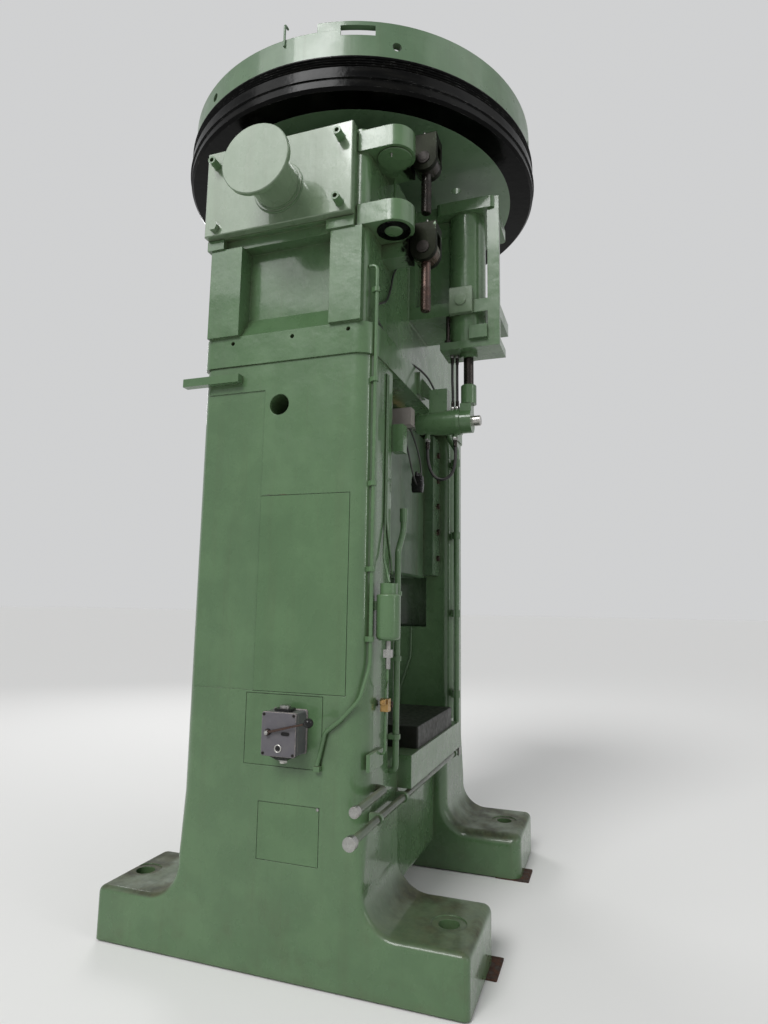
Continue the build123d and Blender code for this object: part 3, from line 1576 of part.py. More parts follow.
# Two hoses from the cylinder's foot into the top of the ram lock
hose_seat = lock_z + cylinder_front / 2 + free_gap
with BuildPart() as lock_hoses:
    for y, lean in ((630, 12), (655, 3)):
        add(
            round_bar(
                (
                    (-lock_x - lean, -y, foot_low),
                    (-lock_x - lean, -y, hose_seat + 160),
                    (-lock_x, -y, hose_seat + 80),
                    (-lock_x, -y, hose_seat),
                ),
                (150, 150),
                lock_hose_radius,
            )
        )
lock_hoses.part.label = "lock_hoses"
export_step(lock_hoses.part, "parts/lock_hoses.step")


def loose_cord(name, points, radius):
    """A loose hose or cable, with its bends as wide as its runs allow."""
    radii = bend_radii(points)
    piece = round_bar(points, radii, radius)
    runs = [(Vector(*end) - Vector(*start)).length for start, end in zip(points, points[1:])]
    length = piece.volume / (math.pi * radius**2)
    print(name, "length", round(length, 1), "bends", [round(value) for value in radii])
    print(name, "runs", [round(value) for value in runs])
    return piece


# Hose that hangs in a loop under the ram lock
loop_back, loop_front = loop_ends
with BuildPart() as loop_hose:
    add(
        loose_cord(
            "loop_hose",
            (
                (-lock_x, -loop_back, loop_top - 2 * free_gap),
                (-lock_x + 1, -loop_back + 1, loop_top - 58),
                (-lock_x + 2, -loop_back - 1, loop_top - 118),
                (-lock_x + 3, -loop_back - 15, loop_top - 175),
                (-lock_x + 3, -loop_back - 44, loop_top - 219),
                (-lock_x + 2, -loop_back - 89, loop_top - 233),
                (-lock_x + 1, -loop_back - 131, loop_top - 211),
                (-lock_x - 1, -loop_front + 3, loop_top - 164),
                (-lock_x - 2, -loop_front - 2, loop_top - 108),
                (-lock_x - 1, -loop_front - 2, loop_top - 54),
                (-lock_x, -loop_front, loop_top - 2 * free_gap),
            ),
            hose_radius,
        )
    )
loop_hose.part.label = "loop_hose"
export_step(loop_hose.part, "parts/loop_hose.step")

# Black cable that comes down the crown's face, lies on the ledge and drops to the lock's stay
ledge_z = band_top + ledge_radius + 1
with BuildPart() as ledge_cable:
    add(
        loose_cord(
            "ledge_cable",
            (
                (ledge_start_x, -413, ledge_start_z - 2),
                (-452, -414, 3388),
                (-532, -412, 3308),
                (-602, -411, 3222),
                (-640, -413, 3120),
                (-700, -412, 3030),
                (-790, -418, 2984),
                (-862, -425, 2940),
                (-893, -431, 2886),
                (-864, -434, 2846),
                (-802, -433, ledge_z + 1),
                (-712, -424, ledge_z),
                (-602, -418, ledge_z),
                (-472, -427, ledge_z),
                (-362, -422, ledge_z + 1),
                (-296, -440, ledge_z + 6),
                (-270, -478, 2812),
                (-240, -512, 2770),
                (-224, -530, saddle_top + 2.5),
            ),
            ledge_radius,
        )
    )
ledge_cable.part.label = "ledge_cable"
export_step(ledge_cable.part, "parts/ledge_cable.step")

# Thin cable that hangs from the clamp block to the junction box, with a plug and socket at its foot
sensor_points = (
    (-clamp_x + clamp_width / 2 + 23, -sensor_start_y, sensor_start_z),
    (-544, -474, sensor_start_z - 16),
    (-531, -484, 2294),
    (-512, -490, 2240),
    (-474, -493, 2190),
    (-428, -494, 2158),
    (-380, -493, 2150),
    (-338, -491, 2178),
    (-316, -488, 2236),
    (-312, -480, 2306),
    (-332, -466, 2380),
    (-378, -452, 2444),
    (-box_x + box_width / 2 + 3, -446, 2484),
)
with BuildPart() as sensor_cable:
    add(loose_cord("sensor_cable", sensor_points, sensor_radius))
sensor_cable.part.label = "sensor_cable"
export_step(sensor_cable.part, "parts/sensor_cable.step")

# The plug is a sleeve round the cable's lowest run
plug_start, plug_end = Vector(*sensor_points[5]), Vector(*sensor_points[6])
plug_plane = Plane(origin=(plug_start + plug_end) * 0.5, z_dir=plug_end - plug_start)
with BuildPart() as cable_plug:
    with BuildSketch(plug_plane):
        Circle(plug_radius)
        Circle(sensor_radius + 3 * free_gap, mode=Mode.SUBTRACT)
    extrude(amount=plug_sleeve / 2, both=True)
cable_plug.part.label = "cable_plug"
export_step(cable_plug.part, "parts/cable_plug.step")
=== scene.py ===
import logging
import math
from dataclasses import dataclass
from enum import Enum
from typing import Iterable, Mapping, Sequence, Union

import bpy
import numpy as np
from mathutils import Matrix


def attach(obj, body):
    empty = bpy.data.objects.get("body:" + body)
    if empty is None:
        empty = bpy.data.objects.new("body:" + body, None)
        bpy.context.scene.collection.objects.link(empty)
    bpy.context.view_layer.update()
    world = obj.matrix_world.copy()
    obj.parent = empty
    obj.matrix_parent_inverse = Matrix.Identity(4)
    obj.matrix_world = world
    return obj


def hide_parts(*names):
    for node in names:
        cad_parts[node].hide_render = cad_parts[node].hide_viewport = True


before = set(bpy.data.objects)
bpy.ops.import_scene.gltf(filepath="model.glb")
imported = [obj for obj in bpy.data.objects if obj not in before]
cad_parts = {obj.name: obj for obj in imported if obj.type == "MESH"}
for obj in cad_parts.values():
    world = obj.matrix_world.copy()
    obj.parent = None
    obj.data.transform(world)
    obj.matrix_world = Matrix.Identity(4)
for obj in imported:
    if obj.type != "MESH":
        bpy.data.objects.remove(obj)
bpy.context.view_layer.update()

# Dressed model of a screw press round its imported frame. The castings, plates, rods and pipes are
# the frame's own solids under procedural paints and metals. This file adds the cords on smooth
# curves, the switch box with its lid, threads, weld beads, hose ends, the front pipe, screws
# and nipples.
# Metres: X across the press, -Y towards the operator, Z up.

log = logging.getLogger("press")

Colour = tuple[float, float, float]
Point = tuple[float, float, float]
Pair = tuple[float, float]
Socket = bpy.types.NodeSocket
Value = Union[float, Sequence[float], Socket]

PRIMER = (0.035, 0.03, 0.026)
IRON_RUST = (0.16, 0.058, 0.022)
# Near black of grease, also used for painted shade in the metals' corners.
GREASE_AND_SHADE = (0.012, 0.011, 0.009)
SHOP_DUST = (0.27, 0.255, 0.2)
# Dirt colour of the runs and splashes, also the colour of the painted shade in corners.
DIRT_AND_SHADE = (0.055, 0.047, 0.024)
OILY_CRUST = (0.052, 0.053, 0.024)
OILY_HOLLOW = (0.022, 0.021, 0.01)
BARE_IRON = (0.2, 0.2, 0.19)
# Pale colour of worn edges, also a painted edge highlight.
WORN_EDGE_AND_HIGHLIGHT = (0.6, 0.5, 0.43)
DARK_RUST = (0.034, 0.015, 0.01)
WARM_RUST = (0.09, 0.036, 0.018)

UP: Point = (0.0, 0.0, 1.0)
DOWN: Point = (0.0, 0.0, -1.0)
LEFT: Point = (-1.0, 0.0, 0.0)


def linear(red: int, green: int, blue: int) -> Colour:
    """Screen colour as the light it stands for.

    Args:
        red: Red, 0 to 255.
        green: Green, 0 to 255.
        blue: Blue, 0 to 255.

    Returns:
        Linear colour, each channel raised to the power 2.2.
    """
    return tuple((channel / 255.0) ** 2.2 for channel in (red, green, blue))


def scaled(colour: Colour, factor: float, added: float = 0.0) -> Colour:
    """Colour times a factor, plus a little, and at most one."""
    return tuple(min(1.0, factor * part + added) for part in colour)


class Graph:
    """A material's nodes, written as expressions that return sockets."""

    def __init__(self, name: str) -> None:
        self.material = bpy.data.materials.new(f"{name}_finish")
        self.material.use_nodes = True
        self.tree = self.material.node_tree
        self.tree.nodes.clear()
        self.place = self.node("ShaderNodeTexCoord").outputs["Object"]
        self.facing = self.node("ShaderNodeNewGeometry").outputs["Normal"]

    def node(
        self, kind: str, inputs: Mapping[object, Value] = {}, **settings: object
    ) -> bpy.types.Node:
        """Adds one node.

        Args:
            kind: The node's class name.
            inputs: Socket name or number to a constant or a socket.
            settings: Properties of the node.

        Returns:
            The new node.
        """
        node = self.tree.nodes.new(kind)
        for key, value in settings.items():
            setattr(node, key, value)
        for key, value in inputs.items():
            self.feed(node.inputs[key], value)
        return node

    def feed(self, socket: Socket, value: Value) -> None:
        """Links a socket, or sets it to a constant."""
        if isinstance(value, Socket):
            self.tree.links.new(value, socket)
        elif isinstance(value, (tuple, list)) and len(value) == 3 and socket.type == "RGBA":
            socket.default_value = (*value, 1.0)
        else:
            socket.default_value = value

    def maths(self, operation: str, *values: Value, clamp: bool = False) -> Socket:
        """One operation on two numbers, or carried from left to right through more."""
        result = values[0]
        for value in values[1:]:
            inputs = {0: result, 1: value}
            node = self.node("ShaderNodeMath", inputs, operation=operation, use_clamp=clamp)
            result = node.outputs[0]
        return result

    def times(self, *values: Value) -> Socket:
        """Product of several numbers."""
        return self.maths("MULTIPLY", *values)

    def plus(self, *values: Value) -> Socket:
        """Sum of several numbers."""
        return self.maths("ADD", *values)

    def either(self, *values: Value) -> Socket:
        """Largest of several masks."""
        return self.maths("MAXIMUM", *values)

    def rest(self, value: Value) -> Socket:
        """What a mask leaves: one minus the value."""
        return self.maths("SUBTRACT", 1.0, value)

    def size(self, value: Value) -> Socket:
        """A number without its sign."""
        return self.maths("ABSOLUTE", value, 0.0)

    def ease(
        self, value: Value, low: float, high: float, start: float = 0.0, end: float = 1.0
    ) -> Socket:
        """Smooth step of a value from low to high.

        Args:
            value: The number to remap.
            low: Where the step starts.
            high: Where it ends; it may lie below low.
            start: Result before the step.
            end: Result after it.

        Returns:
            The remapped number.
        """
        inputs = {"Value": value, "From Min": low, "From Max": high, "To Min": start, "To Max": end}
        return self.node("ShaderNodeMapRange", inputs, interpolation_type="SMOOTHSTEP").outputs[0]

    def noise(self, scale: Union[float, Point], detail: float = 4.0, rough: float = 0.55) -> Socket:
        """Fractal noise on object coordinates.

        Args:
            scale: Lumps per metre, the same all round or for each axis.
            detail: Octaves.
            rough: Weight of the finer octaves.

        Returns:
            Noise around one half.
        """
        place = self.place
        if isinstance(scale, tuple):
            place = self.node("ShaderNodeMapping", {"Vector": place, "Scale": scale}).outputs[0]
            scale = 1.0
        inputs = {"Vector": place, "Scale": scale, "Detail": detail, "Roughness": rough}
        return self.node("ShaderNodeTexNoise", inputs).outputs["Fac"]

    def cloud(
        self, scale: Union[float, Point], detail: float, rough: float, *steps: float
    ) -> Socket:
        """Noise turned into a mask.

        Args:
            scale: Lumps per metre, as for the noise.
            detail: Octaves.
            rough: Weight of the finer octaves.
            steps: Where the mask starts and ends, and its values there if not 0 and 1.

        Returns:
            The noise, eased between the steps.
        """
        return self.ease(self.noise(scale, detail, rough), *steps)

    def axes(self, vector: Value = None) -> tuple[Socket, ...]:
        """X, Y and Z of the coordinates or of another vector."""
        source = self.place if vector is None else vector
        return tuple(self.node("ShaderNodeSeparateXYZ", {0: source}).outputs)

    def blend(self, share: Value, first: Value, second: Value) -> Socket:
        """Colour between two, by a mask."""
        node = self.node("ShaderNodeMix", data_type="RGBA")
        colours = [socket for socket in node.inputs if socket.type == "RGBA"]
        self.feed(node.inputs[0], share)
        self.feed(colours[0], first)
        self.feed(colours[1], second)
        return [socket for socket in node.outputs if socket.type == "RGBA"][0]

    def corners(self, reach: float) -> Socket:
        """How closed in a spot is, from 0 in the open to 1 deep in a corner."""
        inputs = {"Distance": reach}
        shade = self.node("ShaderNodeAmbientOcclusion", inputs, samples=4).outputs["AO"]
        return self.rest(shade)

    def edges(self, radius: float) -> tuple[Socket, Socket]:
        """Rounded normals, and a mask that is 1 along sharp edges.

        Args:
            radius: Rounding in metres.

        Returns:
            The rounded normal, and the mask from its angle to the true one.
        """
        soft = self.node("ShaderNodeBevel", {"Radius": radius}, samples=4).outputs[0]
        both = {0: soft, 1: self.facing}
        level = self.node("ShaderNodeVectorMath", both, operation="DOT_PRODUCT")
        return soft, self.ease(level.outputs["Value"], 0.985, 0.86)

    def bumped(self, height: Value, depth: float, normal: Value = None) -> Socket:
        """Normals bent by a height.

        Args:
            height: Height from 0 to 1.
            depth: What a height of 1 stands for, in metres.
            normal: Normals to start from.

        Returns:
            The bent normals.
        """
        inputs = {"Height": height, "Distance": depth, "Strength": 1.0}
        if normal is not None:
            inputs["Normal"] = normal
        return self.node("ShaderNodeBump", inputs).outputs[0]

    def surface(self, inputs: Mapping[str, Value]) -> bpy.types.Material:
        """Ends the graph in a Principled shader.

        Args:
            inputs: Values and sockets by the shader's names.

        Returns:
            The material.
        """
        shader = self.node("ShaderNodeBsdfPrincipled", inputs)
        output = self.node("ShaderNodeOutputMaterial")
        self.tree.links.new(shader.outputs[0], output.inputs[0])
        return self.material


@dataclass(frozen=True)
class Scratch:
    """Line on the left side of the frame, from one spot of its Y and Z to another."""

    start: Pair
    end: Pair
    width: float
    rust: float


@dataclass(frozen=True)
class Enamel:
    """Brushed machine enamel on a casting: tone, gloss, runs, grime with painted shade in the
    corners, dust and chipped edges.
    """

    name: str
    colour: Colour = linear(84, 111, 78)
    deep: Colour = linear(76, 102, 71)
    gloss: float = 0.27
    coat: float = 0.35
    edge: float = 0.004
    lumps: float = 0.0012
    strokes: float = 0.00035
    # Amount of grime and of painted shade in the corners.
    grime_and_shade: float = 0.75
    reach: float = 0.1
    dust: float = 0.35
    chips: float = 0.45
    runs: float = 0.34
    foot_dirt: float = 0.0
    scratches: tuple[Scratch, ...] = ()
    grease_and_shade_spots: tuple[tuple[Point, float], ...] = ()

    def grease_and_shade_mask(self, graph: Graph) -> Value:
        """Mask of the spots that grease has blackened, and of the spot of painted shade at the
        front pipe's hole.

        Args:
            graph: The graph to add to.

        Returns:
            Distance to each spot's middle, roughened by noise and eased to nothing at its radius.
        """
        rough = graph.cloud(30.0, 7.0, 0.65, 0.3, 0.7, -0.016, 0.016)
        mask = 0.0
        for middle, radius in self.grease_and_shade_spots:
            both = {0: graph.place, 1: middle}
            away = graph.node("ShaderNodeVectorMath", both, operation="DISTANCE")
            spread = graph.plus(away.outputs["Value"], rough)
            mask = graph.either(mask, graph.ease(spread, radius, radius - 0.022))
        return mask

    def scratched(self, graph: Graph) -> tuple[Value, Value]:
        """Masks of the dark lines and of the rust that bleeds from them.

        Args:
            graph: The graph to add to.

        Returns:
            Line mask and rust mask: each is the height above or below the line through both
            ends, eased to nothing at the line's half width, inside the line's own length.
        """
        x, y, z = graph.axes()
        side = graph.ease(x, -0.93, -0.94)
        wander = graph.cloud(14.0, 5.0, 0.55, 0.3, 0.7, -0.004, 0.004)
        lines, rusts = 0.0, 0.0
        for scratch in self.scratches:
            (y0, z0), (y1, z1) = scratch.start, scratch.end
            slope = (z1 - z0) / (y1 - y0)
            level = graph.plus(graph.times(y, slope), z0 - slope * y0, wander)
            away = graph.size(graph.maths("SUBTRACT", z, level))
            below = graph.maths("SUBTRACT", level, z)
            low, high = min(y0, y1), max(y0, y1)
            begun = graph.ease(y, low - 0.01, low + 0.03)
            ended = graph.ease(y, high + 0.01, high - 0.03)
            inside = graph.times(begun, ended, side)
            line = graph.times(graph.ease(away, scratch.width, scratch.width * 0.3), inside)
            bleed = graph.times(
                graph.ease(below, 0.07, 0.0),
                graph.ease(below, -0.006, 0.0),
                graph.cloud((22.0, 22.0, 3.0), 4.0, 0.55, 0.5, 0.66),
                inside,
                scratch.rust,
            )
            lines, rusts = graph.either(lines, line), graph.either(rusts, bleed)
        return lines, rusts

    def make(self) -> bpy.types.Material:
        """Builds the material.

        Returns:
            Paint whose tone drifts over half a metre, streaked down the walls, darkened in corners
            as painted shade and grime, dusty on top, with bare iron showing through noise along the
            sharp edges.
        """
        graph = Graph(self.name)
        soft, edge = graph.edges(self.edge)
        drift = graph.cloud(1.7, 3.0, 0.55, 0.34, 0.66)
        patch = graph.cloud(7.0, 6.0, 0.6, 0.42, 0.6)
        tone = graph.plus(graph.times(drift, 0.55), graph.times(patch, 0.45))
        colour = graph.blend(tone, self.deep, self.colour)
        streak = graph.cloud((15.0, 15.0, 0.7), 6.0, 0.62, 0.5, 0.72)
        thin = graph.cloud((60.0, 60.0, 2.2), 5.0, 0.6, 0.57, 0.7)
        _, _, up = graph.axes(graph.facing)
        wall = graph.ease(graph.size(up), 0.7, 0.3)
        stripes = graph.plus(graph.times(streak, 0.32), graph.times(thin, 0.3))
        run = graph.times(stripes, wall, self.runs)
        colour = graph.blend(run, colour, DIRT_AND_SHADE)
        # Painted shade: ambient occlusion darkens the corners towards the dirt colour, broken up by
        # noise as grime.
        closed = graph.corners(self.reach)
        smear = graph.cloud(11.0, 7.0, 0.65, 0.3, 0.62)
        smeared = graph.plus(0.35, graph.times(smear, 0.65))
        grime_and_shade = graph.times(graph.ease(closed, 0.25, 0.95), smeared, self.grime_and_shade)
        colour = graph.blend(grime_and_shade, colour, DIRT_AND_SHADE)
        flat = graph.ease(up, 0.7, 0.95)
        settled = graph.cloud(9.0, 7.0, 0.65, 0.38, 0.65)
        dust = graph.times(flat, graph.plus(0.35, graph.times(settled, 0.65)), self.dust)
        colour = graph.blend(dust, colour, SHOP_DUST)
        oily = 0.0
        if self.foot_dirt:
            _, _, z = graph.axes()
            low = graph.ease(z, 0.5, 0.22)
            ledge = graph.ease(up, 0.15, 0.75)
            blotch = graph.cloud(3.2, 7.0, 0.62, 0.4, 0.6)
            patchy = graph.plus(0.5, graph.times(blotch, 0.5))
            oily = graph.times(low, ledge, patchy, self.foot_dirt)
            crust = graph.cloud(19.0, 8.0, 0.7, 0.4, 0.62)
            colour = graph.blend(oily, colour, graph.blend(crust, OILY_CRUST, OILY_HOLLOW))
            wet = graph.cloud(6.0, 8.0, 0.7, 0.45, 0.75)
            splash = graph.times(graph.ease(z, 0.5, 0.0), wet, 0.35)
            colour = graph.blend(splash, colour, DIRT_AND_SHADE)
        fleck = graph.cloud(34.0, 7.0, 0.7, 0.7, 0.74)
        worn = graph.times(edge, graph.cloud(26.0, 8.0, 0.72, 0.56, 0.6))
        chip = graph.times(graph.either(worn, graph.times(fleck, 0.55)), self.chips)
        colour = graph.blend(chip, colour, PRIMER)
        black = 0.0
        if self.grease_and_shade_spots:
            black = self.grease_and_shade_mask(graph)
            colour = graph.blend(graph.times(black, 0.96), colour, GREASE_AND_SHADE)
        lines = 0.0
        if self.scratches:
            lines, rusts = self.scratched(graph)
            colour = graph.blend(graph.times(rusts, 0.75), colour, IRON_RUST)
            colour = graph.blend(graph.times(lines, 0.8), colour, PRIMER)
        rough = graph.plus(
            graph.cloud(8.0, 5.0, 0.55, 0.3, 0.7, self.gloss - 0.05, self.gloss + 0.07),
            graph.times(grime_and_shade, 0.25),
            graph.times(dust, 0.9),
            graph.times(run, 0.2),
            graph.times(chip, 0.35),
            graph.times(oily, 0.4),
            graph.times(black, 0.28),
        )
        normal = graph.bumped(graph.noise(5.5, 5.0, 0.5), self.lumps * 4.0, soft)
        normal = graph.bumped(graph.noise((70.0, 70.0, 9.0), 4.0, 0.5), self.strokes, normal)
        chipped, cut = graph.times(chip, -2.0), graph.times(lines, -3.0)
        peel = graph.plus(graph.noise(190.0, 2.0), chipped, cut)
        normal = graph.bumped(peel, 0.00016, normal)
        coat = self.coat
        if self.foot_dirt or self.grease_and_shade_spots:
            dull = graph.either(graph.times(oily, 0.85), graph.times(black, 0.95))
            coat = graph.times(graph.rest(dull), self.coat)
        return graph.surface(
            {
                "Base Color": colour,
                "Metallic": black,
                "Roughness": rough,
                "Normal": normal,
                "Coat Weight": coat,
                "Coat Roughness": 0.07,
                "Specular IOR Level": 0.36,
            }
        )


@dataclass(frozen=True)
class Metal:
    """Bare or greasy metal, with rust, oil film, painted shade in the corners and fine tool marks.
    """

    name: str
    colour: Colour
    rough: float = 0.3
    metallic: float = 1.0
    grease_and_shade: float = 0.3
    rust: float = 0.1
    marks: float = 0.00005
    pits: float = 0.0003
    edge: float = 0.0012
    mark_scale: Point = (30.0, 30.0, 700.0)
    coat: float = 0.0
    specular: float = 0.5

    def make(self) -> bpy.types.Material:
        """Builds the material.

        Returns:
            Metal under a broken film of grease that also blackens the corners as painted shade,
            with rust in blotches and in the corners, pitted where it has rusted and marked by the
            tool where it hasn't.
        """
        graph = Graph(self.name)
        soft, edge = graph.edges(self.edge)
        # Painted shade: the ambient occlusion mask blackens the corners along with the grease film.
        closed = graph.ease(graph.corners(0.03), 0.3, 0.95)
        film = graph.cloud(17.0, 6.0, 0.62, 0.38, 0.64)
        oily = graph.plus(graph.times(film, 0.7), graph.times(closed, 0.5))
        grease_and_shade = graph.times(oily, self.grease_and_shade)
        blotch = graph.cloud(24.0, 8.0, 0.68, 0.62 - 0.25 * self.rust, 0.74 - 0.25 * self.rust)
        spots = graph.either(blotch, graph.times(closed, film))
        rust = graph.times(spots, min(1.0, 3.0 * self.rust))
        shade = graph.cloud(60.0, 5.0, 0.6, 0.3, 0.7)
        rusty = graph.blend(shade, DARK_RUST, WARM_RUST)
        tint = graph.blend(graph.times(shade, 0.35), self.colour, scaled(self.colour, 0.55))
        colour = graph.blend(grease_and_shade, tint, GREASE_AND_SHADE)
        colour = graph.blend(rust, colour, rusty)
        rubbed = graph.times(edge, 0.35, 1.0 - self.grease_and_shade)
        colour = graph.blend(rubbed, colour, scaled(self.colour, 1.5))
        rough = graph.plus(
            graph.cloud(40.0, 5.0, 0.55, 0.3, 0.7, self.rough - 0.06, self.rough + 0.09),
            graph.times(rust, 0.45),
            graph.times(grease_and_shade, 0.05),
        )
        covered = graph.either(rust, graph.times(grease_and_shade, 0.6))
        bare = graph.maths("SUBTRACT", 1.0, covered, clamp=True)
        marks = graph.noise(self.mark_scale, 3.0, 0.5)
        normal = graph.bumped(graph.times(marks, bare), self.marks, soft)
        pitted = graph.times(graph.noise(210.0, 6.0, 0.7), graph.plus(0.15, rust))
        normal = graph.bumped(pitted, self.pits, normal)
        return graph.surface(
            {
                "Base Color": colour,
                "Metallic": graph.times(bare, self.metallic),
                "Roughness": rough,
                "Normal": normal,
                "Coat Weight": self.coat,
                "Coat Roughness": 0.18,
                "Specular IOR Level": self.specular,
            }
        )


@dataclass(frozen=True)
class Moulded:
    """Rubber or plastic with a fine grain and a little dust."""

    name: str
    colour: Colour
    rough: float = 0.5
    grain: float = 420.0
    depth: float = 0.00008
    dust: float = 0.25
    coat: float = 0.0
    # Amount of the pale edge band: wear and a painted edge highlight.
    worn: float = 0.0
    edge: float = 0.001
    specular: float = 0.5

    def make(self) -> bpy.types.Material:
        """Builds the material.

        Returns:
            An even colour that dust greys from above, scuffed by a second noise, and pale along the
            edges with wear and a painted edge highlight.
        """
        graph = Graph(self.name)
        soft, edge = graph.edges(self.edge)
        _, _, up = graph.axes(graph.facing)
        cloud = graph.cloud(30.0, 7.0, 0.66, 0.4, 0.68)
        dust = graph.times(graph.plus(graph.ease(up, 0.0, 0.9), 0.25), cloud, self.dust)
        scuff = graph.times(graph.cloud(90.0, 7.0, 0.7, 0.6, 0.7), 0.3)
        colour = graph.blend(dust, self.colour, SHOP_DUST)
        colour = graph.blend(scuff, colour, scaled(self.colour, 2.2, 0.01))
        # Pale band along the edges, barely broken by noise: wear and a painted edge highlight.
        bare = graph.times(edge, graph.cloud(45.0, 7.0, 0.7, 0.36, 0.5), self.worn)
        colour = graph.blend(bare, colour, WORN_EDGE_AND_HIGHLIGHT)
        rough = graph.plus(self.rough, graph.times(dust, 0.4), graph.times(scuff, 0.5))
        normal = graph.bumped(graph.noise(self.grain, 4.0, 0.6), self.depth, soft)
        return graph.surface(
            {
                "Base Color": colour,
                "Roughness": rough,
                "Normal": normal,
                "Coat Weight": self.coat,
                "Coat Roughness": 0.1,
                "Specular IOR Level": self.specular,
            }
        )


@dataclass(frozen=True)
class GlossBlack:
    """Black enamel on a turned rim, oily and dusty, with the turning's fine rings."""

    name: str = "gloss_black"
    rings: float = 900.0

    def make(self) -> bpy.types.Material:
        """Builds the material.

        Returns:
            Near black with rings at right angles to Z, smeared with dust that the oil holds.
        """
        graph = Graph(self.name)
        soft, edge = graph.edges(0.0025)
        smear = graph.cloud((5.0, 5.0, 26.0), 6.0, 0.6, 0.46, 0.7)
        speck = graph.cloud(70.0, 8.0, 0.72, 0.6, 0.72)
        _, _, up = graph.axes(graph.facing)
        settled = graph.times(graph.ease(up, 0.5, 0.95), 0.3)
        dust = graph.either(graph.times(smear, 0.012), graph.times(speck, 0.02), settled)
        colour = graph.blend(dust, linear(8, 9, 9), SHOP_DUST)
        worn = graph.times(edge, graph.cloud(30.0, 8.0, 0.7, 0.5, 0.62), 0.7)
        colour = graph.blend(worn, colour, BARE_IRON)
        ring = graph.noise((1.5, 1.5, self.rings), 4.0, 0.6)
        normal = graph.bumped(ring, 0.00012, soft)
        normal = graph.bumped(graph.noise(24.0, 4.0), 0.0012, normal)
        rough = graph.plus(0.17, graph.times(smear, 0.08), graph.times(dust, 0.6))
        return graph.surface(
            {
                "Base Color": colour,
                "Metallic": worn,
                "Roughness": rough,
                "Normal": normal,
                "Specular IOR Level": 0.08,
            }
        )


